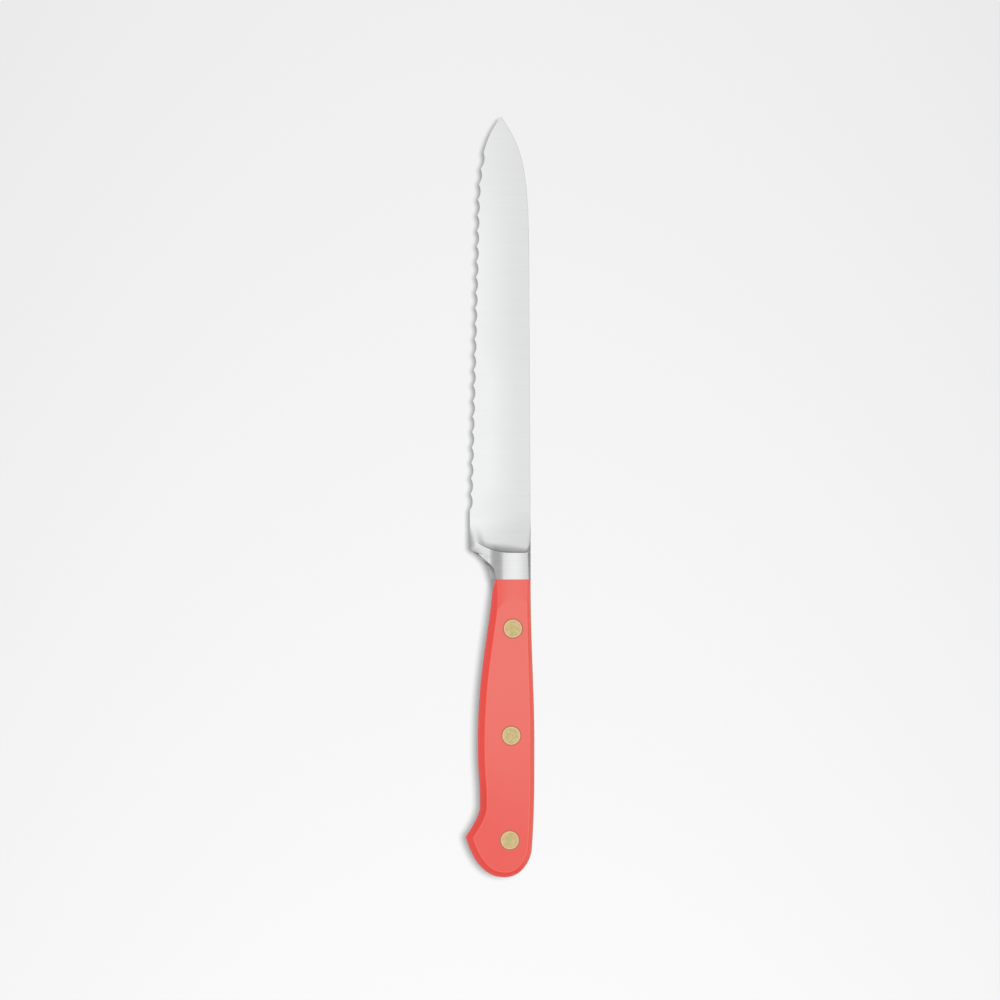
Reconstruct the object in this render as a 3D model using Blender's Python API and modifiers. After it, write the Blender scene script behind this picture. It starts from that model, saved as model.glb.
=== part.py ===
"""Serrated utility knife: a forged blade with full tang, two coral scales and three cutler's rivets.

The knife lies on its side on the plane z = 0, with +Y from the handle to the tip, -X to the
cutting edge and +X to the spine. Outlines are drawn by two distances: "ahead" of the handle's
front face, towards the tip, and "depth" below the spine line, towards the cutting edge.
"""
import math

import bmesh
import bpy
import numpy as np
from mathutils import Matrix, Vector
from mathutils.geometry import delaunay_2d_cdt

# Blade outline
BLADE_LENGTH = 0.1400  # tip to the bolster, along the spine
TIP_DEPTH = 0.0096  # the tip below the spine line
SPINE_FALL = 0.0455  # length over which the spine drops to the tip
SPINE_FALL_DEPTH = 0.0005
EDGE_RISE = 0.0422  # length over which the cutting edge rises to the tip
EDGE_RISE_DEPTH = 0.01775
HEEL_DEPTH = 0.0199  # the cutting edge at the heel, below the spine line

# Blade thickness
HEEL_THICKNESS = 0.0020  # at the spine, by the bolster
TIP_THICKNESS = 0.0005
TAPER_POWER = 0.4  # how the spine thins along the blade
EDGE_THICKNESS = 0.00085  # where the bevel starts
EDGE_SHARE = 0.75  # of the spine's thickness there, at the most
EDGE_LAND = 0.0001  # what is left at the very edge
BEVEL_ANGLE = math.radians(16)  # ground on the back of the blade only

# Scallops, ground through the bevel
SCALLOP_PITCH = 0.00506
SCALLOP_DEPTH = 0.0007
TOOTH_ROUNDING = 0.00008  # how far the tooth points lie inside the edge line
PLAIN_TIP = 0.01195  # edge without scallops at the tip
PLAIN_HEEL = 0.01146  # edge without scallops at the heel
WHEEL_OVERRUN = 0.0020  # how far the grinding wheel runs out past the edge
WHEEL_REACH = 0.0052  # and how far it runs up the blade
WHEEL_SIDES = 160

# Bolster
BOLSTER_LENGTH = 0.0090  # handle to the plunge line, at the middle of the bolster's face
BOLSTER_THICKNESS = 0.0104  # at the handle
BOLSTER_TAPER = math.radians(6)  # each face, towards the blade
CROWN_DEPTH = 0.0051  # where the crowned face is highest
CROWN_RADIUS = 0.0185
PLUNGE_DEPTH = 0.0061  # lowest point of the curved plunge line
PLUNGE_SPINE_RISE = 0.00246  # how far the plunge line curls ahead at the spine
PLUNGE_SPINE_POWER = 4.5
PLUNGE_GUARD_RISE = 0.0049  # and at the guard
PLUNGE_GUARD_POWER = 2.3
PLUNGE_FADE = 0.0150  # length over which the curl fades out along the blade
FILLET_LENGTH = 0.0036  # hollow between blade and bolster
FILLET_POWER = 2.5
FILLET_NARROWING = 0.7  # the hollow is narrower where the step is low
SPINE_CHAMFER = 0.00095
CHAMFER_SLOPE = 1.2

# Finger guard
BAND_TOP = 0.0091  # the bolster's side slopes down from here
BAND_FOOT = 0.0116  # to the guard's face here
GUARD_THICKNESS = 0.0054  # at the foot of the slope
GUARD_END_THICKNESS = 0.0032  # at the heel
GUARD_END_AHEAD = 0.0096  # lower corner of the guard, ahead of the handle
GUARD_END_SHARE = 0.25  # of the bolster's rows run along the guard's straight end
GUARD_HEADINGS = (-62, -16)  # of its hollow underside, at the end and at the handle
GUARD_PULLS = (0.22, 0.34)
GUARD_ROUNDING = 0.0010
ROUNDING_SHARE = 0.25  # of the guard's height, at the most
ROUNDING_ROOM = 1.3  # the slope's foot stays this many roundings inside the rim
BOLSTER_ROWS = (0.12, 0.25, 0.33, 0.45, 0.6, 0.75, 0.88, 1.0)

# Handle outline
HANDLE_LENGTH = 0.0974
FRONT_DEPTH = 0.0113
SHOULDER_BACK = 0.0060  # behind the front face
SHOULDER_DEPTH = 0.0127
BELLY_FROM_BUTT = 0.0439
BELLY_DEPTH = 0.01727
THROAT_FROM_BUTT = 0.0237
THROAT_DEPTH = 0.01656
BEAK_FROM_BUTT = 0.0132
BEAK_DEPTH = 0.0213
BUTT_DEPTH = 0.00866  # where the butt reaches furthest back
CORNER_FROM_BUTT = 0.00904  # start of the butt's curve on the spine side
CORNER_SWELL = 0.00036  # the handle's back stands proud of the spine line there
SWELL_FROM_BUTT = 0.0440
SPINE_SWELL = 0.00123  # and most of all here

# Handle section
HANDLE_THICKNESS = 0.0130
TANG_THICKNESS = 0.0034
TANG_ROOT = 0.0020  # how far the tang's outline runs into the bolster
TANG_ROOT_INSET = 0.0006
BELLY_STRIP = 0.0023  # width of the sloped strip along the belly
SPINE_STRIP = 0.00145
STRIP_SLOPE = 1.2
STRIP_FULLNESS = 1.3  # 1 is a flat chamfer, 2 a quarter round
LEAST_WALL = 0.0003  # upright side of a scale below its sloped strip, at the least
MITRE_POINTS = 6  # points either side of the beak that its mitre may swallow
MITRE_LIMIT = 0.3  # cosine of the sharpest half corner that is mitred in full
RAMP_ANGLE = math.radians(12)  # the handle's top falls to the bolster

# Rivets
HEAD_DIAMETER = 0.0060
HEAD_THICKNESS = 0.0012
HEAD_CHAMFER = 0.00015
HEAD_SINK = 0.00002  # the heads lie a hair below the scales
TUBE_DIAMETER = 0.0044
PIN_DIAMETER = 0.0025
PIN_END_ROOM = 0.0010  # left empty past the pin, in the tube
FRONT_RIVET_BACK = 0.01605  # behind the handle's front face
REAR_RIVET_FROM_BUTT = 0.0122
MIDDLE_RIVET_SHARE = 0.506  # of the way from the front rivet to the rear one
FRONT_RIVET_DEPTH = 0.0058
REAR_RIVET_DEPTH = 0.0068
RIVET_SIDES = 32

FIT = 0.0003  # clearance between pieces that touch

TIP_AHEAD = BOLSTER_LENGTH + PLUNGE_SPINE_RISE + BLADE_LENGTH
HALF_HANDLE = HANDLE_THICKNESS / 2
HALF_TANG = TANG_THICKNESS / 2
HALF_BOLSTER = BOLSTER_THICKNESS / 2


def blend(a, b, share):
    return a + (b - a) * share


def ease(share):
    """Smooth step from 0 to 1."""
    share = np.clip(share, 0, 1)
    return share * share * (3 - 2 * share)


def heading(degrees):
    """Unit (ahead, depth) direction, turned from "towards the butt" to "towards the edge"."""
    angle = math.radians(degrees)
    return np.array((-math.cos(angle), math.sin(angle)))


def bend(start, start_degrees, end, end_degrees, pulls, count):
    """Cubic curve between two points, leaving and arriving along the given headings."""
    start = np.array(start)
    end = np.array(end)
    chord = np.linalg.norm(end - start)
    leave = start + heading(start_degrees) * chord * pulls[0]
    arrive = end - heading(end_degrees) * chord * pulls[1]
    t = np.linspace(0, 1, count + 1)[:, None]
    u = 1 - t
    return u**3 * start + 3 * u * u * t * leave + 3 * u * t * t * arrive + t**3 * end


def place(ahead, depth, height=0.0):
    return Vector((-depth, ahead, height))


# Curves of the blade and guard

def spine_curve():
    join = (TIP_AHEAD - SPINE_FALL, SPINE_FALL_DEPTH)
    foot = (TIP_AHEAD - BLADE_LENGTH, 0.0)
    slope = math.degrees(math.atan2(foot[1] - join[1], join[0] - foot[0]))
    tip_curve = bend((TIP_AHEAD, TIP_DEPTH), -35, join, slope, (0.26, 0.62), 40)
    return np.vstack([tip_curve, foot, (-HANDLE_LENGTH, 0.0)])


def edge_curve():
    join = (TIP_AHEAD - EDGE_RISE, EDGE_RISE_DEPTH)
    heel = (TIP_AHEAD - BLADE_LENGTH + PLAIN_HEEL, HEEL_DEPTH)
    slope = math.degrees(math.atan2(heel[1] - join[1], join[0] - heel[0]))
    tip_curve = bend((TIP_AHEAD, TIP_DEPTH), 41, join, slope, (0.30, 0.37), 40)
    return np.vstack([tip_curve, heel, (-HANDLE_LENGTH, HEEL_DEPTH)])


SPINE = spine_curve()
EDGE = edge_curve()


def depth_on(curve, ahead):
    return float(np.interp(ahead, curve[::-1, 0], curve[::-1, 1]))


def plunge_ahead(depth):
    """The plunge line, where the hollow meets the bolster's face."""
    below = np.maximum(depth - PLUNGE_DEPTH, 0) / (HEEL_DEPTH - PLUNGE_DEPTH)
    above = np.maximum(PLUNGE_DEPTH - depth, 0) / PLUNGE_DEPTH
    guard_curl = PLUNGE_GUARD_RISE * below**PLUNGE_GUARD_POWER
    spine_curl = PLUNGE_SPINE_RISE * above**PLUNGE_SPINE_POWER
    return BOLSTER_LENGTH + guard_curl + spine_curl


def guard_side(share):
    """Left outline of the bolster, from the plunge line past the heel corner to the handle."""
    top = plunge_ahead(HEEL_DEPTH)
    if share <= GUARD_END_SHARE:
        return blend(top, GUARD_END_AHEAD, share / GUARD_END_SHARE), HEEL_DEPTH
    end = (GUARD_END_AHEAD, HEEL_DEPTH)
    leave, arrive = GUARD_HEADINGS
    arc = bend(end, leave, (0.0, FRONT_DEPTH), arrive, GUARD_PULLS, 60)
    point = (share - GUARD_END_SHARE) / (1 - GUARD_END_SHARE) * (len(arc) - 1)
    index = np.arange(len(arc))
    return float(np.interp(point, index, arc[:, 0])), float(np.interp(point, index, arc[:, 1]))


# Thickness of the forging

def spine_half(ahead):
    share = np.clip((TIP_AHEAD - ahead) / BLADE_LENGTH, 0, 1)
    return blend(TIP_THICKNESS, HEEL_THICKNESS, share**TAPER_POWER) / 2


def edge_half(ahead):
    return np.minimum(EDGE_THICKNESS / 2, EDGE_SHARE * spine_half(ahead))


def blade_faces(ahead, depth, edge, spine):
    """Heights of the blade's front and back faces; only the back has a bevel."""
    share = (depth - spine) / max(edge - spine, 1e-9)
    flat = blend(spine_half(ahead), edge_half(ahead), share)
    bevel = edge_half(ahead) - EDGE_LAND - (edge - depth) * math.tan(BEVEL_ANGLE)
    return flat, np.maximum(-flat, bevel)


def bolster_half(ahead, depth):
    """Half thickness of the bolster and guard, before the guard's rim is rounded."""
    crown = (depth - CROWN_DEPTH) ** 2 / (2 * CROWN_RADIUS)
    face = HALF_BOLSTER - np.clip(ahead, 0, None) * math.tan(BOLSTER_TAPER) - crown
    out = (depth - BAND_FOOT) / (HEEL_DEPTH - BAND_FOOT)
    guard = blend(GUARD_THICKNESS, GUARD_END_THICKNESS, out) / 2
    half = blend(face, guard, ease((depth - BAND_TOP) / (BAND_FOOT - BAND_TOP)))
    return half - np.maximum(SPINE_CHAMFER - depth, 0) * CHAMFER_SLOPE


def bolster_columns(edge, spine):
    """Depths of a row's points in the bolster, and how far the rim's rounding lowers each."""
    rounding = min(GUARD_ROUNDING, ROUNDING_SHARE * (edge - BAND_TOP))
    foot = min(BAND_FOOT, edge - ROUNDING_ROOM * rounding)
    angles = np.linspace(0, math.pi / 2, 3)
    rim = edge - rounding * (1 - np.cos(angles))
    guard = np.linspace(rim[-1], foot, 5)[1:]
    crown = np.linspace(BAND_TOP, SPINE_CHAMFER, 5)
    depths = np.array([*rim, *guard, (foot + BAND_TOP) / 2, *crown, spine])
    drop = np.zeros(len(depths))
    drop[: len(rim)] = rounding * (1 - np.sin(angles))
    return depths, drop


def blade_columns(ahead, edge, spine, count):
    """Depths of a row's points in the blade, with one on the line where the bevel starts."""
    width = edge - spine
    grind = math.tan(BEVEL_ANGLE) - (spine_half(ahead) - edge_half(ahead)) / max(width, 1e-9)
    bevel = 0.5 * width
    if grind > 0:
        bevel = min(bevel, (2 * edge_half(ahead) - EDGE_LAND) / grind)
    flat = np.linspace(edge - bevel, spine, count - 2)
    return np.array([edge, edge - bevel / 2, *flat])


def blade_row(lead):
    """One row across the blade, the given length ahead of the plunge line."""
    curl = 1 - ease((lead - FILLET_LENGTH) / PLUNGE_FADE)

    def row_ahead(depth):
        return BOLSTER_LENGTH + lead + curl * (plunge_ahead(depth) - BOLSTER_LENGTH)

    edge = depth_on(EDGE, row_ahead(HEEL_DEPTH))
    spine = depth_on(SPINE, row_ahead(0.0))
    in_bolster, drop = bolster_columns(HEEL_DEPTH, 0.0)
    depths = blade_columns(row_ahead(edge), edge, spine, len(in_bolster))
    depths = blend(depths, in_bolster, curl)
    depths[0] = edge
    depths[-1] = spine
    ahead = row_ahead(depths)
    front, back = blade_faces(ahead, depths, edge, spine)
    bolster = bolster_half(plunge_ahead(depths), depths) - drop
    step = np.maximum(bolster - front, 0)
    reach = FILLET_LENGTH * (step / (HALF_BOLSTER - HEEL_THICKNESS / 2)) ** FILLET_NARROWING
    hollow = np.clip(1 - lead / np.maximum(reach, 1e-9), 0, 1) ** FILLET_POWER
    if lead <= 0:
        hollow = np.ones(len(depths))
    return ahead, depths, blend(front, bolster, hollow), blend(back, -bolster, hollow)


def bolster_row(share):
    """One row across the bolster and guard, from the plunge line (0) to the handle (1)."""
    side_ahead, side_depth = guard_side(share)
    depths, drop = bolster_columns(side_depth, 0.0)
    straight = (1 - share) * plunge_ahead(depths)
    pull = np.clip((depths - BAND_TOP) / (side_depth - BAND_TOP), 0, 1) ** 2
    ahead = straight + pull * (side_ahead - straight[0])
    half = bolster_half(ahead, depths) - drop
    return ahead, depths, half, -half


# Handle

def handle_outline(front):
    """Outline of scale and tang: along the belly, round the butt and back along the spine."""
    shoulder = (-SHOULDER_BACK, SHOULDER_DEPTH)
    belly = (BELLY_FROM_BUTT - HANDLE_LENGTH, BELLY_DEPTH)
    throat = (THROAT_FROM_BUTT - HANDLE_LENGTH, THROAT_DEPTH)
    beak = (BEAK_FROM_BUTT - HANDLE_LENGTH, BEAK_DEPTH)
    butt = (-HANDLE_LENGTH, BUTT_DEPTH)
    corner = (CORNER_FROM_BUTT - HANDLE_LENGTH, -CORNER_SWELL)
    swell = (SWELL_FROM_BUTT - HANDLE_LENGTH, -SPINE_SWELL)
    pieces = [
        bend((front, FRONT_DEPTH), 29, shoulder, 5.5, (0.32, 0.29), 5),
        bend(shoulder, 5.5, belly, 0, (0.27, 0.46), 12),
        bend(belly, 0, throat, 0, (0.60, 0.50), 6),
        bend(throat, 0, beak, 35, (0.09, 0.74), 7),
        bend(beak, -22, butt, -90, (0.14, 0.495), 14),
        bend(butt, -90, corner, -175.4, (0.48, 0.23), 14),
        bend(corner, -175.4, swell, -180, (0.33, 0.33), 8),
        bend(swell, -180, (front, 0.0), -180, (0.33, 0.41), 10),
    ]
    corner_index = sum(len(piece) - 1 for piece in pieces[:4])
    outline = np.vstack([pieces[0], *(piece[1:] for piece in pieces[1:])])
    return outline, corner_index


def inset(outline, widths, corner):
    """The outline moved inwards by each point's own width, mitred at the beak and the front."""
    steps = np.diff(outline, axis=0)
    steps /= np.linalg.norm(steps, axis=1)[:, None]
    inward = np.stack([steps[:, 1], -steps[:, 0]], axis=1) * math.copysign(1, steps[0][0])
    moved = outline.copy()
    moved[0, 1] += widths[0] / inward[0][1]
    moved[-1, 1] += widths[-1] / inward[-1][1]
    for i in range(1, len(outline) - 1):
        middle = inward[i - 1] + inward[i]
        middle /= np.linalg.norm(middle)
        moved[i] += middle * widths[i] / max(float(middle @ inward[i]), MITRE_LIMIT)
    along = steps[corner - 1] + steps[corner]
    for i in range(corner - MITRE_POINTS, corner + MITRE_POINTS + 1):
        past_corner = float((moved[i] - moved[corner]) @ along) * (i - corner)
        if past_corner < 0:
            moved[i] = moved[corner]
    return moved


def strip_widths(outline):
    """Widest where the outline faces the belly, narrowest where it faces the spine."""
    along = np.gradient(outline, axis=0)
    along /= np.linalg.norm(along, axis=1)[:, None]
    facing_belly = (1 - along[:, 0]) / 2
    return blend(SPINE_STRIP, BELLY_STRIP, facing_belly)


def scale_top(ahead, depth):
    """Height of the scale's top: flat, with a crowned ramp down to the bolster."""
    crown = (depth - CROWN_DEPTH) ** 2 / (2 * CROWN_RADIUS)
    ramp = HALF_BOLSTER - crown - ahead * math.tan(RAMP_ANGLE)
    return np.minimum(HALF_HANDLE, ramp)


def rivet_places():
    front = (-FRONT_RIVET_BACK, FRONT_RIVET_DEPTH)
    rear = (REAR_RIVET_FROM_BUTT - HANDLE_LENGTH, REAR_RIVET_DEPTH)
    middle = [blend(a, b, MIDDLE_RIVET_SHARE) for a, b in zip(front, rear)]
    return {"front": front, "middle": tuple(middle), "rear": rear}


# Building in the scene

def clear_scene():
    for item in list(bpy.data.objects):
        bpy.data.objects.remove(item, do_unlink=True)
    for group in list(bpy.data.collections):
        bpy.data.collections.remove(group)


def new_collection(name):
    group = bpy.data.collections.new(name)
    bpy.context.scene.collection.children.link(group)
    return group


def finish_material(name, colour, roughness, metallic):
    material = bpy.data.materials.new(name)
    material.use_nodes = True
    shader = material.node_tree.nodes["Principled BSDF"]
    shader.inputs["Base Color"].default_value = (*colour, 1.0)
    shader.inputs["Roughness"].default_value = roughness
    shader.inputs["Metallic"].default_value = metallic
    material.diffuse_color = (*colour, 1.0)
    return material


def new_object(name, data, collection, material=None):
    item = bpy.data.objects.new(name, data)
    collection.objects.link(item)
    if material:
        data.materials.append(material)
    return item


def close_mesh(bm, name):
    """Weld, orient and hand over a finished bmesh."""
    bmesh.ops.remove_doubles(bm, verts=bm.verts, dist=1e-6)
    bmesh.ops.recalc_face_normals(bm, faces=bm.faces)
    mesh = bpy.data.meshes.new(name)
    bm.to_mesh(mesh)
    bm.free()
    return mesh


def skin(bm, rows, closed=False):
    """Quads between neighbouring rows of vertices."""
    for low, high in zip(rows, rows[1:]):
        pairs = list(zip(low, high))
        if closed:
            pairs.append(pairs[0])
        for (a, b), (d, c) in zip(pairs, pairs[1:]):
            bm.faces.new((a, b, c, d))


def add_boolean(item, cutter, operation):
    modifier = item.modifiers.new(cutter.name, "BOOLEAN")
    modifier.operation = operation
    modifier.solver = "EXACT"
    modifier.object = cutter


def add_cylinder(name, collection, radius, length, matrix, sides):
    bm = bmesh.new()
    bmesh.ops.create_cone(
        bm, cap_ends=True, segments=sides, radius1=radius, radius2=radius, depth=length
    )
    mesh = bpy.data.meshes.new(name)
    bm.to_mesh(mesh)
    bm.free()
    item = new_object(name, mesh, collection)
    item.matrix_world = matrix
    item.hide_render = True
    item.display_type = "WIRE"
    return item


def blade_and_bolster_mesh():
    """Loft of the rows from the tip to the handle's front face."""
    fillet_leads = FILLET_LENGTH * np.array((0.06, 0.15, 0.3, 0.5, 0.75, 1.0))
    length = TIP_AHEAD - BOLSTER_LENGTH
    blade_leads = FILLET_LENGTH + (length - FILLET_LENGTH) * np.linspace(0, 1, 15)[1:-4]
    tip_leads = length - (length - blade_leads[-1]) * np.linspace(1, 0, 17)[1:] ** 1.6
    leads = [0.0, *fillet_leads, *blade_leads, *tip_leads]
    rows = [blade_row(lead) for lead in reversed(leads)]
    rows += [bolster_row(share) for share in BOLSTER_ROWS]
    bm = bmesh.new()
    loops = []
    for ahead, depths, front, back in rows:
        top = [bm.verts.new(place(*point)) for point in zip(ahead, depths, front)]
        bottom = [bm.verts.new(place(*point)) for point in zip(ahead, depths, back)]
        loops.append(top + bottom[::-1])
    skin(bm, loops, closed=True)
    bm.faces.new(loops[-1])
    return close_mesh(bm, "forged_blade")


def tang_object(collection):
    """The full tang, the outline of the handle, with a root inside the bolster."""
    outline, _ = handle_outline(0.0)
    root = [(TANG_ROOT, TANG_ROOT_INSET), (TANG_ROOT, FRONT_DEPTH - TANG_ROOT_INSET)]
    points = [*outline, *root]
    curve = bpy.data.curves.new("tang_outline", "CURVE")
    curve.dimensions = "2D"
    curve.fill_mode = "BOTH"
    curve.extrude = HALF_TANG
    spline = curve.splines.new("POLY")
    spline.points.add(len(points) - 1)
    for point, (ahead, depth) in zip(spline.points, points):
        point.co = (*place(ahead, depth), 1.0)
    spline.use_cyclic_u = True
    drawn = new_object("tang_outline", curve, collection)
    bpy.context.view_layer.update()
    evaluated = drawn.evaluated_get(bpy.context.evaluated_depsgraph_get())
    mesh = bpy.data.meshes.new_from_object(evaluated)
    bm = bmesh.new()
    bm.from_mesh(mesh)
    bmesh.ops.remove_doubles(bm, verts=bm.verts, dist=1e-6)
    bmesh.ops.recalc_face_normals(bm, faces=bm.faces)
    bm.to_mesh(mesh)
    bm.free()
    tang = new_object("tang", mesh, collection)
    tang.matrix_world = drawn.matrix_world
    tang.hide_render = True
    tang.display_type = "WIRE"
    bpy.data.objects.remove(drawn, do_unlink=True)
    return tang


def scallop_wheels(collection):
    """One cylinder for each scallop, leaning as the grinding wheel does."""
    start = TIP_AHEAD - PLAIN_TIP
    run = BLADE_LENGTH - PLAIN_TIP - PLAIN_HEEL
    count = max(round(run / SCALLOP_PITCH), 1)
    pitch = run / count
    sag = (SCALLOP_DEPTH - TOOTH_ROUNDING) * math.sin(BEVEL_ANGLE)
    radius = (pitch / 2) ** 2 / (2 * sag) + sag / 2
    wheels = []
    for i in range(count):
        ends = [start - (i + side) * pitch for side in (0, 1)]
        front, back = (np.array((ahead, depth_on(EDGE, ahead))) for ahead in ends)
        middle = (front + back) / 2
        along = place(*(back - front)).normalized()
        inward = along.cross(Vector((0, 0, 1)))
        if inward.x < 0:
            inward = -inward
        valley = place(*middle, edge_half(middle[0])) + inward * SCALLOP_DEPTH
        lean = inward * math.cos(BEVEL_ANGLE) - Vector((0, 0, 1)) * math.sin(BEVEL_ANGLE)
        away = -inward * math.sin(BEVEL_ANGLE) - Vector((0, 0, 1)) * math.cos(BEVEL_ANGLE)
        centre = valley + away * radius + lean * (WHEEL_REACH - WHEEL_OVERRUN) / 2
        turn = Matrix((away, lean.cross(away), lean)).transposed().to_4x4()
        matrix = Matrix.Translation(centre) @ turn
        length = WHEEL_REACH + WHEEL_OVERRUN
        wheels.append(
            add_cylinder(f"scallop_wheel_{i + 1}", collection, radius, length, matrix, WHEEL_SIDES)
        )
    return wheels


def rivet_drills(collection, name, radius, low, high):
    drills = []
    for key, (ahead, depth) in rivet_places().items():
        matrix = Matrix.Translation(place(ahead, depth, (low + high) / 2))
        drill_name = f"{name}_{key}_drill"
        drills.append(
            add_cylinder(drill_name, collection, radius, high - low, matrix, RIVET_SIDES)
        )
    return drills


def make_forging(parts, cutters):
    steel = finish_material("brushed_steel", (0.72, 0.73, 0.74), 0.32, 1.0)
    forging = new_object("forged_blade", blade_and_bolster_mesh(), parts, steel)
    add_boolean(forging, tang_object(cutters), "UNION")
    for wheel in scallop_wheels(cutters):
        add_boolean(forging, wheel, "DIFFERENCE")
    hole = TUBE_DIAMETER / 2 + FIT
    for drill in rivet_drills(cutters, "tang", hole, -TANG_THICKNESS, TANG_THICKNESS):
        add_boolean(forging, drill, "DIFFERENCE")
    return forging


def ramp_crest(depths):
    """Where the crowned ramp meets the flat top, an arch when seen from above."""
    crown = (depths - CROWN_DEPTH) ** 2 / (2 * CROWN_RADIUS)
    ahead = -(HALF_HANDLE - HALF_BOLSTER + crown) / math.tan(RAMP_ANGLE)
    return np.stack([ahead, depths], axis=1)


def fill_top(bm, loop, crest, side):
    """Triangles over the scale's top, inside the loop, with an edge along the ramp's crest."""
    points = [Vector(point) for point in (*loop, *crest)]
    edges = [(i, (i + 1) % len(loop)) for i in range(len(loop))]
    edges += [(len(loop) + i, len(loop) + i + 1) for i in range(len(crest) - 1)]
    corners, _, triangles, *_ = delaunay_2d_cdt(points, edges, [], 1, 1e-7)
    heights = [scale_top(corner.x, corner.y) for corner in corners]
    verts = [bm.verts.new(place(*point, side * high)) for point, high in zip(corners, heights)]
    for triangle in triangles:
        bm.faces.new([verts[i] for i in triangle])


def scale_mesh(name, side):
    """Walls, the sloped strip in rings, and the top filled in between."""
    outline, corner = handle_outline(-FIT)
    widths = strip_widths(outline)
    inner = inset(outline, widths, corner)
    inner_top = scale_top(inner[:, 0], inner[:, 1])
    base = HALF_TANG + FIT
    drops = np.minimum(widths * STRIP_SLOPE, inner_top - base - LEAST_WALL)
    rings = [(outline, np.full(len(outline), base))]
    for share in (0.0, 0.35, 0.7, 1.0):
        rise = (1 - (1 - share) ** STRIP_FULLNESS) ** (1 / STRIP_FULLNESS)
        rings.append((blend(outline, inner, share), inner_top - drops * (1 - rise)))
    bm = bmesh.new()
    loops = []
    for ring, heights in rings:
        loops.append(
            [bm.verts.new(place(*point, side * high)) for point, high in zip(ring, heights)]
        )
    skin(bm, loops)
    bm.faces.new(loops[0])
    front = blend(inner[-1], inner[0], np.linspace(0, 1, 9)[1:-1, None])
    front_top = scale_top(front[:, 0], front[:, 1])
    front_edge = [bm.verts.new(place(*point, side * high)) for point, high in zip(front, front_top)]
    left = [loop[0] for loop in loops]
    right = [loop[-1] for loop in reversed(loops)]
    bm.faces.new(left + front_edge[::-1] + right)
    crest = ramp_crest(np.linspace(inner[-1][1] + FIT, inner[0][1] - FIT, 12))
    crest = crest[crest[:, 0] < inner[0][0] - FIT]
    fill_top(bm, [*inner, *front], crest, side)
    return close_mesh(bm, name)


def make_scale(name, side, material, parts, cutters):
    scale = new_object(name, scale_mesh(name, side), parts, material)
    recess = HALF_HANDLE - HEAD_THICKNESS - FIT
    spans = {"hole": (0.0, HANDLE_THICKNESS), "recess": (recess, HANDLE_THICKNESS)}
    radii = {"hole": TUBE_DIAMETER / 2 + FIT, "recess": HEAD_DIAMETER / 2 + FIT}
    for key, span in spans.items():
        low, high = sorted(side * end for end in span)
        for drill in rivet_drills(cutters, f"{name}_{key}", radii[key], low, high):
            add_boolean(scale, drill, "DIFFERENCE")
    return scale


def turned_object(name, profile, collection, material):
    """A profile of (radius, height) points turned round the rivet's axis."""
    mesh = bpy.data.meshes.new(name)
    points = [(radius, 0.0, height) for radius, height in profile]
    mesh.from_pydata(points, [(i, i + 1) for i in range(len(points) - 1)], [])
    item = new_object(name, mesh, collection, material)
    turn = item.modifiers.new("turn", "SCREW")
    turn.steps = RIVET_SIDES
    turn.render_steps = RIVET_SIDES
    turn.use_merge_vertices = True
    turn.merge_threshold = 1e-5
    return item


def make_rivet(key, ahead, depth, material, parts):
    """A head with a tube from above, and a head with a pin from below."""
    head = HEAD_DIAMETER / 2
    tube = TUBE_DIAMETER / 2
    pin = PIN_DIAMETER / 2
    top = HALF_HANDLE - HEAD_SINK
    shoulder = top - HEAD_THICKNESS
    tube_end = FIT - shoulder
    pin_end = shoulder - PIN_END_ROOM
    female = [
        (0.0, top),
        (head - HEAD_CHAMFER, top),
        (head, top - HEAD_CHAMFER),
        (head, shoulder),
        (tube, shoulder),
        (tube, tube_end),
        (pin + FIT, tube_end),
        (pin + FIT, pin_end + FIT),
        (0.0, pin_end + FIT),
    ]
    male = [
        (0.0, pin_end),
        (pin, pin_end),
        (pin, -shoulder),
        (head, -shoulder),
        (head, HEAD_CHAMFER - top),
        (head - HEAD_CHAMFER, -top),
        (0.0, -top),
    ]
    pair = [
        turned_object(f"{key}_rivet_female", female, parts, material),
        turned_object(f"{key}_rivet_male", male, parts, material),
    ]
    for item in pair:
        item.location = place(ahead, depth)
    return pair


def stand_on_origin(items):
    """Parent the pieces to an empty that brings their box to the middle of the floor plane."""
    bpy.context.view_layer.update()
    graph = bpy.context.evaluated_depsgraph_get()
    corners = []
    for item in items:
        shape = item.evaluated_get(graph)
        corners += [item.matrix_world @ Vector(corner) for corner in shape.bound_box]
    low = [min(corner[axis] for corner in corners) for axis in range(3)]
    high = [max(corner[axis] for corner in corners) for axis in range(3)]
    frame = bpy.data.objects.new("knife_frame", None)
    items[0].users_collection[0].objects.link(frame)
    frame.location = (-(low[0] + high[0]) / 2, -(low[1] + high[1]) / 2, -low[2])
    return frame


def main():
    clear_scene()
    parts = new_collection("serrated_utility_knife")
    cutters = new_collection("cutters")
    coral = finish_material("coral_plastic", (0.87, 0.19, 0.165), 0.42, 0.0)
    lower_coral = finish_material("coral_plastic_lower", (0.87, 0.19, 0.165), 0.42, 0.0)
    brass = finish_material("brass", (0.62, 0.50, 0.22), 0.38, 1.0)
    items = [
        make_forging(parts, cutters),
        make_scale("upper_scale", 1, coral, parts, cutters),
        make_scale("lower_scale", -1, lower_coral, parts, cutters),
    ]
    for key, (ahead, depth) in rivet_places().items():
        items += make_rivet(key, ahead, depth, brass, parts)
    frame = stand_on_origin(items)
    for item in [*items, *cutters.objects]:
        item.parent = frame


main()
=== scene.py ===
"""Serrated utility knife lying on a pale studio floor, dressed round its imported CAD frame.

Outlines are drawn by two distances, as a bladesmith would: "ahead" of the handle's front face,
towards the tip, and "depth" below the spine line, towards the cutting edge. "Height" is counted
from the middle of the blade's thickness. Lengths are in metres and headings in degrees.
"""
import math

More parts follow.
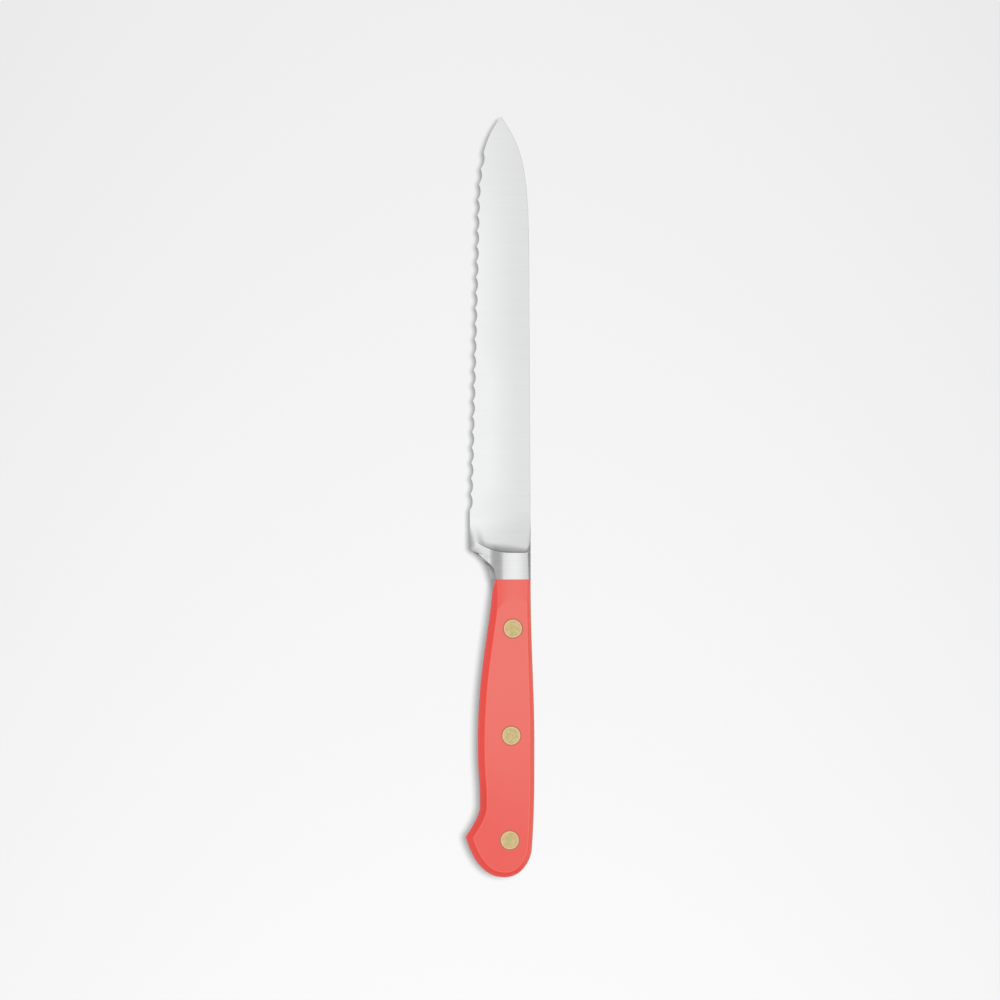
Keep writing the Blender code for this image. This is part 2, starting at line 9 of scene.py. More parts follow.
import bmesh
import bpy
import numpy as np
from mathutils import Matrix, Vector
from mathutils.geometry import delaunay_2d_cdt


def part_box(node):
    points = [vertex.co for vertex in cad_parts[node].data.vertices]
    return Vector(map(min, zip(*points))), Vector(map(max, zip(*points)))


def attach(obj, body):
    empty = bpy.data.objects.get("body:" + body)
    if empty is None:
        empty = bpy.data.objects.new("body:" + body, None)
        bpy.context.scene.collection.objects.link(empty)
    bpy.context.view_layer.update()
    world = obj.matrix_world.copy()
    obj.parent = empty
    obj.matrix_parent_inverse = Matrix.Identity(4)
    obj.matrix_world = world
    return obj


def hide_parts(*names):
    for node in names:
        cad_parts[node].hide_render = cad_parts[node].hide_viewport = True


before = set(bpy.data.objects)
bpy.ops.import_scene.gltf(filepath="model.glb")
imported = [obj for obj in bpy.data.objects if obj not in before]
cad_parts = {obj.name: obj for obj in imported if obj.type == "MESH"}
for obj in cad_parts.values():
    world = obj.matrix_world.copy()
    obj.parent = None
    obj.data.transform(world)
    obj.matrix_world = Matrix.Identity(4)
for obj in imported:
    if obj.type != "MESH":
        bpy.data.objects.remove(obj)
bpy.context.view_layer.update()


# The forging: blade, bolster, finger guard and full tang are drawn out of one bar of stainless
# steel. The blade is ground thin and brushed across, the scallops are ground from the back only,
# and the tang runs to the butt between the two scales.

# The blade's outline, its taper and its grind.
BLADE_LENGTH = 0.1400
TIP_DEPTH = 0.0096
TIP_STEPS = 240
SPINE_FALL = 0.0455
SPINE_FALL_DEPTH = 0.0005
SPINE_PULLS = (0.26, 0.62)
SPINE_AT_TIP = -35
EDGE_RISE = 0.0422
EDGE_RISE_DEPTH = 0.01775
EDGE_PULLS = (0.30, 0.37)
EDGE_AT_TIP = 41
HEEL_DEPTH = 0.0199
HEEL_THICKNESS = 0.0020
TIP_THICKNESS = 0.0005
TAPER_POWER = 0.4
EDGE_THICKNESS = 0.00085
EDGE_SHARE = 0.75
EDGE_LAND = 0.00004
BEVEL_ANGLE = math.radians(16)
SPINE_ROUNDING = 0.00010
EDGE_STEPS = 12
SPINE_STEPS = 6
SCALLOP_ROWS = 24
HOLLOW_ROWS = 40
HEEL_ROWS = 14
TIP_ROWS = 70
TIP_CROWDING = 1.6

# The scallops, and the plain stretches at both ends of them.
SCALLOP_PITCH = 0.00506
SCALLOP_DEPTH = 0.00086
TOOTH_ROUNDING = 0.00008
PLAIN_TIP = 0.01195
PLAIN_HEEL = 0.01146

# The bolster's faces, the plunge line and the hollow ahead of it.
BOLSTER_TOP = 0.01146
BOLSTER_LENGTH = 0.0087
HALF_BOLSTER = 0.0052
BOLSTER_TAPER = math.radians(6)
CROWN_DEPTH = 0.0051
CROWN_RADIUS = 0.0185
PLUNGE_DEPTH = 0.0061
PLUNGE_SPINE_RISE = BOLSTER_TOP - BOLSTER_LENGTH
PLUNGE_SPINE_POWER = 13.0
PLUNGE_GUARD_RISE = 0.0053
PLUNGE_GUARD_POWER = 2.3
PLUNGE_FADE = 0.0180
FILLET_LENGTH = 0.0036
FULL_STEP = 0.0032
HOLLOW_REACH = 0.0032
HOLLOW_AT_SPINE = 0.5
HOLLOW_WIDENING = 0.0085
RISE_WIDENING = 1.25 * HOLLOW_WIDENING
HOLLOW_RISE = 0.00076
HOLLOW_RISE_AT_SPINE = 0.42
HOLLOW_SHARE = 0.50
HOLLOW_POWER = 1.9
HOLLOW_NARROWING = 0.3
WALL_REACH = 0.0004
SOFT_DEPTHS = (0.0148, 0.0180)
SOFT_REACH = 0.0065
SOFT_POWER = 1.7
WALL_POWER = 1.3
SWELL_REACH = 0.0065
SWELL_RISE = 0.00045
SWELL_SHARE = 0.4
CHAMFER_WIDTHS = (0.00060, 0.00095)
CHAMFER_SLOPE = 0.64
# Painted shade on the spine's chamfer.
CHAMFER_SHADE = 0.55
# A painted highlight along the plunge line.
PLUNGE_HIGHLIGHT = 0.03
BOLSTER_ROWS = 80

# The band below the bolster's face, the guard and its rim. The rim's drops, widths and powers are
# for the guard's end and then for its hollow. It fades and grows by shares of the guard's line.
BAND_TOP = 0.0088
BAND_FOOT = 0.0139
BAND_DROP = 0.0020
BAND_SLOPE = 0.20
GUARD_END_HALF = 0.0010
GUARD_END_AHEAD = 0.0096
GUARD_AT_END = -62
GUARD_CORNER = 0.0005
GUARD_AT_CORNER = -60
GUARD_CORNER_PULLS = (0.4, 0.4)
GUARD_FOOT_DEPTH = 0.0129
GUARD_AT_FOOT = -4
GUARD_PULLS = (0.36, 0.34)
GUARD_END_POINTS = 12
GUARD_TINT_TOP = 0.0110
GUARD_TINT_FADE = 0.0020
RIM_STEPS = 10
RIM_DROPS = (0.0005, 0.00032)
RIM_WIDTHS = (0.0022, 0.00052)
RIM_POWERS = (2.0, 1.05)
RIM_FADE = (0.66, 0.90)
RIM_GROWTH = (0.38, 0.70)
RIM_WIDENING = 2.3
RIM_DEEPENING = 0.62
# The painted highlight along the rim's inner edge.
RIM_HIGHLIGHT_WIDTH = 0.0003
RIM_HIGHLIGHT_SPREAD = 2.2
# The painted shade on the rim's bevel.
RIM_SHADES = (1.8, 0.9)
RIM_SHADE_AT_EDGE = 0.6

# The tang, and the handle's front that its root and the bolster meet.
HANDLE_LENGTH = 0.0974
FRONT_DEPTH = 0.0113
SPINE_SWELL = 0.00123
HALF_TANG = 0.0017
TANG_BEVEL = 0.00010
TANG_ROOT = 0.0020
TANG_ROOT_INSET = 0.0006
SHOULDER_SLOPE = 0.58
SHOULDER_END = 0.0005

TIP_AHEAD = BOLSTER_TOP + BLADE_LENGTH
forging_low, forging_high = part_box("forged_blade")
SPINE_X = forging_high.x - SPINE_SWELL
FRONT_Y = forging_low.y + HANDLE_LENGTH
MIDDLE_Z = (forging_low.z + forging_high.z) / 2


def place(ahead, depth, height=0.0):
    """A point of the outline as a point in the CAD frame."""
    return Vector((SPINE_X - depth, FRONT_Y + ahead, MIDDLE_Z + height))


def blend(a, b, share):
    """From a, at a share of 0, to b, at 1."""
    return a + (b - a) * share


def ease(share):
    """0 up to a share of 0, 1 from a share of 1, and a soft step between them."""
    share = np.clip(share, 0, 1)
    return share * share * (3 - 2 * share)


def heading(degrees):
    """Unit (ahead, depth) direction, turned from "towards the butt" to "towards the edge"."""
    angle = math.radians(degrees)
    return np.array((-math.cos(angle), math.sin(angle)))


def bend(start, start_degrees, end, end_degrees, pulls, count):
    """Cubic curve between two points, leaving and arriving along the given headings."""
    start, end = np.array(start), np.array(end)
    chord = np.linalg.norm(end - start)
    leave = start + heading(start_degrees) * chord * pulls[0]
    arrive = end - heading(end_degrees) * chord * pulls[1]
    t = np.linspace(0, 1, count + 1)[:, None]
    u = 1 - t
    return u**3 * start + 3 * u * u * t * leave + 3 * u * t * t * arrive + t**3 * end


def tip_curve(fall, fall_depth, foot, pulls, degrees):
    """A line from the foot up to the fall, then a curve to the tip."""
    join = (TIP_AHEAD - fall, fall_depth)
    slope = math.degrees(math.atan2(foot[1] - join[1], join[0] - foot[0]))
    curve = bend((TIP_AHEAD, TIP_DEPTH), degrees, join, slope, pulls, TIP_STEPS)
    return np.vstack([curve, foot, (-HANDLE_LENGTH, foot[1])])


spine_foot = (TIP_AHEAD - BLADE_LENGTH, 0.0)
edge_foot = (TIP_AHEAD - BLADE_LENGTH + PLAIN_HEEL, HEEL_DEPTH)
SPINE = tip_curve(SPINE_FALL, SPINE_FALL_DEPTH, spine_foot, SPINE_PULLS, SPINE_AT_TIP)
EDGE = tip_curve(EDGE_RISE, EDGE_RISE_DEPTH, edge_foot, EDGE_PULLS, EDGE_AT_TIP)


def depth_on(curve, ahead):
    return np.interp(ahead, curve[::-1, 0], curve[::-1, 1])


def plunge_ahead(depth):
    """The plunge line, where the hollow meets the bolster's face."""
    below = np.maximum(depth - PLUNGE_DEPTH, 0) / (HEEL_DEPTH - PLUNGE_DEPTH)
    above = np.maximum(PLUNGE_DEPTH - depth, 0) / PLUNGE_DEPTH
    guard_curl = PLUNGE_GUARD_RISE * below**PLUNGE_GUARD_POWER
    return BOLSTER_LENGTH + guard_curl + PLUNGE_SPINE_RISE * above**PLUNGE_SPINE_POWER


def guard_outline():
    """From the plunge line down the guard's end, round its corner and along its hollow."""
    end, foot = (GUARD_END_AHEAD, HEEL_DEPTH), (0.0, GUARD_FOOT_DEPTH)
    hollow = bend(end, GUARD_AT_END, foot, GUARD_AT_FOOT, GUARD_PULLS, 120)
    start = int(np.argmax(HEEL_DEPTH - hollow[:, 1] > GUARD_CORNER))
    corner = (GUARD_END_AHEAD + GUARD_CORNER, HEEL_DEPTH)
    turn = bend(corner, 0, hollow[start], GUARD_AT_CORNER, GUARD_CORNER_PULLS, 10)
    flat = np.linspace((plunge_ahead(HEEL_DEPTH), HEEL_DEPTH), corner, GUARD_END_POINTS)
    return np.vstack([flat, turn[1:], hollow[start + 1 :]])


def run_along(points):
    """How far along a line each of its points lies."""
    return np.concatenate([[0], np.cumsum(np.linalg.norm(np.diff(points, axis=0), axis=1))])


def point_at(at, run, points):
    """The points of a line that lie this far along its run."""
    return np.stack([np.interp(at, run, points[:, i]) for i in (0, 1)], axis=-1)


GUARD = guard_outline()
GUARD_RUN = run_along(GUARD) / run_along(GUARD)[-1]
FINE_GUARD = point_at(np.linspace(0, 1, 1500), GUARD_RUN, GUARD)
# The rim turns from soft to crisp over the first four steps of the corner's turn.
RIM_TURN = (GUARD_RUN[GUARD_END_POINTS - 1], GUARD_RUN[GUARD_END_POINTS + 3])


def spine_half(ahead):
    """Half the blade's thickness at its spine."""
    share = np.clip((TIP_AHEAD - ahead) / BLADE_LENGTH, 0, 1)
    return blend(TIP_THICKNESS, HEEL_THICKNESS, share**TAPER_POWER) / 2


def edge_half(ahead):
    """Half the blade's thickness at its edge, before the back is ground."""
    return np.minimum(EDGE_THICKNESS / 2, EDGE_SHARE * spine_half(ahead))


SCALLOP_RUN = BLADE_LENGTH - PLAIN_TIP - PLAIN_HEEL
SCALLOPS = round(SCALLOP_RUN / SCALLOP_PITCH)
PITCH = SCALLOP_RUN / SCALLOPS
SCALLOPS_END = TIP_AHEAD - PLAIN_TIP
WHEEL_SAG = (SCALLOP_DEPTH - TOOTH_ROUNDING) * math.sin(BEVEL_ANGLE)
WHEEL_RADIUS = (PITCH / 2) ** 2 / (2 * WHEEL_SAG) + WHEEL_SAG / 2


def wheel_sag(ahead):
    """How far the grinding wheel's rim curves away at this place, and where it was at work."""
    turns = (SCALLOPS_END - ahead) / PITCH
    working = (turns >= 0) & (turns <= SCALLOPS)
    offset = (turns - np.clip(np.floor(turns), 0, SCALLOPS - 1) - 0.5) * PITCH
    offset = np.clip(offset, -PITCH, PITCH)
    return WHEEL_RADIUS - np.sqrt(WHEEL_RADIUS**2 - offset**2), working


def scallop(ahead):
    """How far the scalloped edge lies inside the plain edge line."""
    sag, working = wheel_sag(ahead)
    return np.where(working, np.maximum(SCALLOP_DEPTH - sag / math.sin(BEVEL_ANGLE), 0), 0)


def blade_faces(ahead, depth, edge, spine):
    """Heights of the blade's front and back faces. Only the back is ground."""
    share = (depth - spine) / max(edge - spine, 1e-9)
    flat = blend(spine_half(ahead), edge_half(ahead), share)
    inside = edge - depth
    ground = edge_half(ahead) - EDGE_LAND - inside * math.tan(BEVEL_ANGLE)
    sag, working = wheel_sag(ahead)
    wheel = edge_half(ahead) - EDGE_LAND - sag / math.cos(BEVEL_ANGLE)
    wheel = wheel - (inside - SCALLOP_DEPTH) * math.tan(BEVEL_ANGLE)
    ground = np.where(working, np.maximum(ground, wheel), ground)
    rounding = np.clip(1 - (depth - spine) / SPINE_ROUNDING, 0, 1)
    drop = np.minimum(SPINE_ROUNDING * (1 - np.sqrt(1 - rounding**2)), 0.8 * flat)
    return flat - drop, np.maximum(drop - flat, np.minimum(ground, flat - EDGE_LAND))


def chamfer_width(ahead):
    """The broken corner along the bolster's spine narrows towards the handle."""
    return np.interp(ahead, (0, BOLSTER_TOP), CHAMFER_WIDTHS)


def crown(depth):
    """How far the bolster's crowned face, and the scales' ramp, lie below their middle line."""
    return (depth - CROWN_DEPTH) ** 2 / (2 * CROWN_RADIUS)


def bolster_half(ahead, depth):
    """Half thickness: a crowned face, a band that slopes down from it, and the flat guard."""
    taper = HALF_BOLSTER - np.clip(ahead, 0, None) * math.tan(BOLSTER_TAPER)
    face, top = taper - crown(depth), taper - crown(BAND_TOP)
    foot = top - BAND_DROP
    width = BAND_FOOT - BAND_TOP
    u = np.clip((depth - BAND_TOP) / width, 0, 1)
    lead_in = width * (u**3 - 2 * u**2 + u) * BAND_SLOPE
    band = top - ease(u) * (top - foot) - lead_in
    guard = blend(foot, GUARD_END_HALF, (depth - BAND_FOOT) / (HEEL_DEPTH - BAND_FOOT))
    half = np.where(depth < BAND_TOP, face, np.where(depth < BAND_FOOT, band, guard))
    return half - np.maximum(chamfer_width(ahead) - depth, 0) * CHAMFER_SLOPE


def stretch(*stops_and_steps):
    """Values from stop to stop, with the given number of steps between them."""
    values = [np.array(stops_and_steps[:1])]
    for steps, stop in zip(stops_and_steps[1::2], stops_and_steps[2::2]):
        values.append(np.linspace(values[-1][-1], stop, steps + 1)[1:])
    return np.concatenate(values)


def row_line(share):
    """The line of a row across the bolster, and the depth at which it ends.

    Rows run from the plunge line, at a share of 0, to the handle's front, at 1.
    """
    side, edge = point_at(share, GUARD_RUN, GUARD)
    side_shift = side - (1 - share) * plunge_ahead(edge)

    def ahead(depth):
        pull = np.clip((depth - BAND_TOP) / (edge - BAND_TOP), 0, 1) ** 2
        return (1 - share) * plunge_ahead(depth) + pull * side_shift

    return ahead, edge


def bolster_columns(share):
    """Depths of a row's points, how far the rim lowers each, and its painted highlight and shade.

    The rim is soft round the guard's end and a crisp bevel along its hollow. The bevel widens
    towards the handle, where it runs out into the band.
    """
    ahead, edge = row_line(share)
    crisp = float(ease((share - RIM_TURN[0]) / (RIM_TURN[1] - RIM_TURN[0])))
    # The rim's width is counted square to the guard's line, so that distance is measured here.
    within = np.linspace(edge, blend(BAND_TOP, edge, 0.5), 160)
    points = np.stack([ahead(within), within], axis=1)
    gaps = np.linalg.norm(points[:, None] - FINE_GUARD[None], axis=2).min(axis=1)
    gaps = np.maximum.accumulate(gaps - gaps[0])
    fade = float(ease((share - RIM_FADE[0]) / (RIM_FADE[1] - RIM_FADE[0])))
    grown = float(ease(np.interp(share, RIM_GROWTH, (0, 1))))
    plain_width = blend(*RIM_WIDTHS, crisp)
    width = min(plain_width * (1 + RIM_WIDENING * grown), 0.9 * gaps[-1])
    t = np.linspace(0, 1, RIM_STEPS + 1)
    rim = np.interp(width * t, gaps, within)
    foot = min(BAND_FOOT, blend(BAND_TOP, rim[-1], 0.6))
    chamfer = CHAMFER_WIDTHS[1]
    for _ in range(3):
        chamfer = float(chamfer_width(ahead(chamfer)))
    depths = np.concatenate(
        [rim[:-1], stretch(rim[-1], 14, foot, 16, BAND_TOP, 24, chamfer, 6, 0.0)]
    )
    fall = blend(*RIM_DROPS, crisp) * (width / plain_width) ** RIM_DEEPENING
    drop = np.zeros(len(depths))
    drop[: len(rim)] = (1 - fade) * fall * (1 - t) ** blend(*RIM_POWERS, crisp)
    # A painted highlight lines the rim's inner edge and the plunge line.
    past_rim = rim[-1] - depths + 1e-9
    edge_highlight = np.clip(RIM_HIGHLIGHT_SPREAD - past_rim / RIM_HIGHLIGHT_WIDTH, 0, 1) * (past_rim >= 0)
    edge_highlight = np.maximum(crisp * math.sqrt(1 - fade) * edge_highlight, np.clip(1 - share / PLUNGE_HIGHLIGHT, 0, 1))
    # Painted shade darkens the spine's chamfer and the rim's bevel.
    shade = CHAMFER_SHADE * (depths < 1.01 * chamfer)
    shade[:RIM_STEPS] += crisp * blend(*RIM_SHADES, fade) * blend(RIM_SHADE_AT_EDGE, 1, t[:-1])
    return depths, drop, edge_highlight, shade


def blade_columns(ahead, edge, spine, inset, count):
    """Depths of a row's points in the blade, with one on the line where the grind ends."""
    width = edge - spine
    half = edge_half(ahead)
    sag, working = wheel_sag(ahead)
    start = (SCALLOP_DEPTH - sag / math.sin(BEVEL_ANGLE)) if working else 0.0
    slope = math.tan(BEVEL_ANGLE) - (spine_half(ahead) - half) / max(width, 1e-9)
    grind = 0.5 * width
    if slope > 0:
        grind = min(grind, (2 * half - EDGE_LAND + start * math.tan(BEVEL_ANGLE)) / slope)
    rounding = min(SPINE_ROUNDING, 0.3 * width)
    steps = count - 1 - EDGE_STEPS - SPINE_STEPS
    outer = edge - min(inset, 0.5 * width)
    return stretch(outer, EDGE_STEPS, edge - grind, steps, spine + rounding, SPINE_STEPS, spine)


def hollow_share(lead, depth, front, bolster):
    """How much of the step up to the bolster is left, this far ahead of the plunge line.

    A long faint swell runs into a ground hollow, and that ends in a short steep wall. Next to
    the edge the step is small, and one long slope takes it up.
    """
    step = np.maximum(bolster - front, 0)
    swell = np.minimum(SWELL_RISE, SWELL_SHARE * step) * max(1 - lead / SWELL_REACH, 0) ** 2
    step = step - swell
    reach = (step / FULL_STEP + 1e-6) ** HOLLOW_NARROWING
    reach = reach * blend(HOLLOW_AT_SPINE, 1.0, ease(depth / HOLLOW_WIDENING))
    rise = np.minimum(HOLLOW_RISE, HOLLOW_SHARE * step)
    rise = rise * blend(HOLLOW_RISE_AT_SPINE, 1.0, ease(depth / RISE_WIDENING))
    hollow = rise * np.clip(1 - lead / (HOLLOW_REACH * reach), 0, 1) ** HOLLOW_POWER
    wall = (step - rise) * np.clip(1 - lead / (WALL_REACH * reach), 0, 1) ** WALL_POWER
    soft = step * max(1 - lead / SOFT_REACH, 0) ** SOFT_POWER
    left = swell + blend(hollow + wall, soft, ease(np.interp(depth, SOFT_DEPTHS, (0, 1))))
    return np.clip(left / np.maximum(bolster - front, 1e-6), 0, 1)


def plunge_curl(lead):
    """How much of the plunge line's curl is left in a row of the blade."""
    return 1 - ease((lead - FILLET_LENGTH) / PLUNGE_FADE)


def row_ahead(lead, depth):
    """Ahead of each depth on a row of the blade."""
    curl = plunge_curl(lead)
    return BOLSTER_LENGTH + lead + curl * (plunge_ahead(depth) - BOLSTER_LENGTH)


PLUNGE_COLUMNS, PLUNGE_DROP = bolster_columns(0.0)[:2]


def blade_row(lead):
    """One row across the blade, the given length ahead of the plunge line."""
    edge = depth_on(EDGE, row_ahead(lead, HEEL_DEPTH))
    spine = depth_on(SPINE, row_ahead(lead, 0.0))
    at_edge = row_ahead(lead, edge)
    inset = scallop(at_edge)
    depths = blade_columns(at_edge, edge, spine, inset, len(PLUNGE_COLUMNS))
    depths = blend(depths, PLUNGE_COLUMNS, plunge_curl(lead))
    depths[0] = edge - min(inset, 0.5 * (edge - spine))
    depths[-1] = spine
    ahead = row_ahead(lead, depths)
    front, back = blade_faces(ahead, depths, edge, spine)
    bolster = bolster_half(plunge_ahead(depths), depths) - PLUNGE_DROP
    share = hollow_share(lead, depths, front, bolster) if lead > 0 else 1.0
    return ahead, depths, blend(front, bolster, share), blend(back, -bolster, share)


def bolster_row(share):
    """One row across the bolster and guard, from the plunge line (0) to the handle (1)."""
    depths, drop, edge_highlight, shade = bolster_columns(share)
    ahead = row_line(share)[0](depths)
    half = bolster_half(ahead, depths) - drop
    return ahead, depths, half, -half, edge_highlight, shade


def row_leads():
    """Where the rows lie: close together in the hollow, one on each tooth, close at the tip."""
    length = TIP_AHEAD - BOLSTER_LENGTH
    leads = np.linspace(0, length, 4000)
    teeth = np.linspace(SCALLOPS_END - SCALLOP_RUN, SCALLOPS_END, SCALLOPS * SCALLOP_ROWS + 1)
    scalloped = np.interp(teeth, row_ahead(leads, HEEL_DEPTH), leads)
    hollow = FILLET_LENGTH * np.linspace(0, 1, HOLLOW_ROWS) ** 2
    plain = np.linspace(FILLET_LENGTH, scalloped[0], HEEL_ROWS)[1:-1]
    tip = length - (length - scalloped[-1]) * np.linspace(1, 0, TIP_ROWS)[1:] ** TIP_CROWDING
    return np.concatenate([hollow, plain, scalloped, tip])


def skin(bm, rows, closed=False):
    """Quads between neighbouring rows of vertices."""
    for low, high in zip(rows, rows[1:]):
        pairs = list(zip(low, high))
        if closed:
            pairs.append(pairs[0])
        for (a, b), (d, c) in zip(pairs, pairs[1:]):
            bm.faces.new((a, b, c, d))


SHARP = math.radians(11)
WELD = 2e-6
SLIVER = 1e-6


def finish_mesh(bm, name):
    """Weld and orient a bmesh, and shade it smooth except over its sharp edges."""
    bmesh.ops.remove_doubles(bm, verts=bm.verts, dist=WELD)
    bmesh.ops.dissolve_degenerate(bm, edges=bm.edges, dist=SLIVER)
    bmesh.ops.recalc_face_normals(bm, faces=bm.faces)
    for face in bm.faces:
        face.smooth = True
    for edge in bm.edges:
        edge.smooth = len(edge.link_faces) == 2 and edge.calc_face_angle(0) < SHARP
    mesh = bpy.data.meshes.new(name)
    bm.to_mesh(mesh)
    bm.free()
    return mesh


def add_object(name, data):
    item = bpy.data.objects.new(name, data)
    bpy.context.scene.collection.objects.link(item)
    return item


def ring_verts(bm, points, heights):
    """Vertices at flat points, with one height for all or one for each."""
    heights = np.broadcast_to(heights, len(points))
    return [bm.verts.new(place(*point, high)) for point, high in zip(points, heights)]


def blade_and_bolster():
    """Loops of points from tip to handle, storing the finish's shares and painted light."""
    bm = bmesh.new()
    layers = [bm.verts.layers.float.new(name) for name in ("bolster", "guard", "edge_highlight", "bevel_shade")]
    loops = []
    for lead in row_leads()[::-1]:
        ahead, depths, front, back = blade_row(lead)
        points = np.stack([ahead, depths], axis=1)
        loops.append(ring_verts(bm, points, front) + ring_verts(bm, points, back)[::-1])
    for share in np.linspace(0, 1, BOLSTER_ROWS + 1)[1:]:
        ahead, depths, front, back, edge_highlight, shade = bolster_row(share)
        points = np.stack([ahead, depths], axis=1)
        on_guard = ease((depths - GUARD_TINT_TOP) / GUARD_TINT_FADE)
        paint = np.stack([np.ones(len(depths)), on_guard, edge_highlight, shade], axis=1)
        sides = ring_verts(bm, points, front), ring_verts(bm, points, back)
        for verts in sides:
            for vert, values in zip(verts, paint):
                for layer, value in zip(layers, values):
                    vert[layer] = float(value)
        loops.append(sides[0] + sides[1][::-1])
    skin(bm, loops, closed=True)
    bm.faces.new(loops[-1])
    return finish_mesh(bm, "blade_and_bolster")


SHOULDER = (-0.0060, 0.0127)
BELLY = (0.0439 - HANDLE_LENGTH, 0.01727)
THROAT = (0.0237 - HANDLE_LENGTH, 0.01656)
BEAK = (0.0132 - HANDLE_LENGTH, 0.0213)
BUTT = (-HANDLE_LENGTH, 0.00866)
BUTT_CORNER = (0.00904 - HANDLE_LENGTH, -0.00036)
SWELL = (0.0440 - HANDLE_LENGTH, -SPINE_SWELL)
SHOULDER_HEADING = 5.5
CORNER_HEADING = -175.4
BEAK_ROUNDING = 0.0005
BELLY_POINTS = 200
BACK_POINTS = 300


def handle_outline(front, depth=FRONT_DEPTH, degrees=29):
    """Along the belly to the beak, and from the beak round the butt and back along the spine."""
    belly = np.vstack(
        [
            bend((front, depth), degrees, SHOULDER, SHOULDER_HEADING, (0.32, 0.29), 40),
            bend(SHOULDER, SHOULDER_HEADING, BELLY, 0, (0.27, 0.46), 90)[1:],
            bend(BELLY, 0, THROAT, 0, (0.60, 0.50), 60)[1:],
            bend(THROAT, 0, BEAK, 35, (0.09, 0.74), 60)[1:],
        ]
    )
    back = np.vstack(
        [
            bend(BEAK, -22, BUTT, -90, (0.14, 0.495), 80),
            bend(BUTT, -90, BUTT_CORNER, CORNER_HEADING, (0.48, 0.23), 80)[1:],
            bend(BUTT_CORNER, CORNER_HEADING, SWELL, -180, (0.33, 0.33), 60)[1:],
            bend(SWELL, -180, (front, 0.0), -180, (0.33, 0.41), 90)[1:],
        ]
    )
    before = belly[np.linalg.norm(belly - BEAK, axis=1) > BEAK_ROUNDING]
    after = back[np.linalg.norm(back - BEAK, axis=1) > BEAK_ROUNDING]
    t = np.linspace(0, 1, 17)[:, None]
    turn = (1 - t) ** 2 * before[-1] + 2 * t * (1 - t) * np.array(BEAK) + t**2 * after[0]
    return np.vstack([before, turn[1:9]]), np.vstack([turn[8:-1], after])


def spread(points, count):
    """The same line with its points spread evenly."""
    run = run_along(points)
    return point_at(np.linspace(0, run[-1], count), run, points)


def meeting(a, b):
    """Cuts two lines off where they cross, so that both end there."""
    p, r = a[:-1, None], np.diff(a, axis=0)[:, None]
    q, s = b[None, :-1], np.diff(b, axis=0)[None]
    turn = r[..., 0] * s[..., 1] - r[..., 1] * s[..., 0]
    turn = np.where(np.abs(turn) < 1e-18, 1e-18, turn)
    gap = q - p
    t = (gap[..., 0] * s[..., 1] - gap[..., 1] * s[..., 0]) / turn
    u = (gap[..., 0] * r[..., 1] - gap[..., 1] * r[..., 0]) / turn
    hits = np.argwhere((t >= 0) & (t <= 1) & (u >= 0) & (u <= 1))
    if len(hits) == 0:
        return a, b
    i = hits[:, 0].min()
    j = hits[hits[:, 0] == i, 1].max()
    point = a[i] + (a[i + 1] - a[i]) * t[i, j]
    return np.vstack([a[: i + 1], point]), np.vstack([point, b[j + 1 :]])


def to_front(points, front):
    """Carries the last stretch of a line on to the handle's front plane."""
    step = points[-1] - points[-2]
    return np.vstack([points, points[-1] + step * (front - points[-1, 0]) / step[0]])


def directions(line):
    """The unit direction of a line at each of its points."""
    steps = np.gradient(line, axis=0)
    return steps / np.linalg.norm(steps, axis=1)[:, None]


def inset_ring(belly, back, front, width_of):
    """The handle's outline moved inwards, mitred at the beak, with evenly spread points."""
    line = np.vstack([belly, back[1:]])
    along = directions(line)
    inward = np.stack([-along[:, 1], along[:, 0]], axis=1)
    moved = line + inward * width_of(line, along)[:, None]
    a, b = meeting(moved[: len(belly)], moved[len(belly) - 1 :])
    a = to_front(a[::-1], front)[::-1]
    b = to_front(b, front)
    return np.vstack([spread(a, BELLY_POINTS), spread(b, BACK_POINTS)[1:]])


def even_width(width):
    return lambda line, along: np.full(len(line), width)


def filled(bm, loops, height_of, keep, extra=()):
    """Triangles between flat loops of vertices, at the height that belongs to each place."""
    flat, edges = [], []
    for loop in loops:
        start = len(flat)
        flat += [Vector(point) for point, _ in loop]
        count = len(loop)
        edges += [(start + i, start + (i + 1) % count) for i in range(count)]
    known = [vert for loop in loops for _, vert in loop]
    flat += [Vector(point) for point in extra]
    corners, _, faces, sources, *_ = delaunay_2d_cdt(flat, edges, [], 0, 1e-8)
    verts = []
    for corner, source in zip(corners, sources):
        same = [i for i in source if i < len(known)]
        high = height_of(corner.x, corner.y)
        verts.append(known[same[0]] if same else bm.verts.new(place(*corner, high)))
    for face in faces:
        centre = sum((corners[i] for i in face), Vector((0, 0))) / len(face)
        if keep(centre):
            bm.faces.new([verts[i] for i in face])


def inside(point, loop):
    """Whether a flat point lies inside a closed loop."""
    x, y = loop[:, 0] - point[0], loop[:, 1] - point[1]
    x2, y2 = np.roll(x, -1), np.roll(y, -1)
    crossing = (y > 0) != (y2 > 0)
    with np.errstate(divide="ignore", invalid="ignore"):
        at = x + (x2 - x) * (-y) / (y2 - y)
    return bool(np.count_nonzero(crossing & (at > 0)) % 2)


def shoulder_reach(line):
    """How far the steel stands out beside the scales' cut corners, next to the bolster."""
    reach = (0.0, GUARD_FOOT_DEPTH - FRONT_DEPTH, 0.0)
    room = np.interp(line[:, 0], (SHOULDER[0], 0.0, SHOULDER_END), reach)
    return np.where(line[:, 1] > FRONT_DEPTH / 2, room, 0.0)


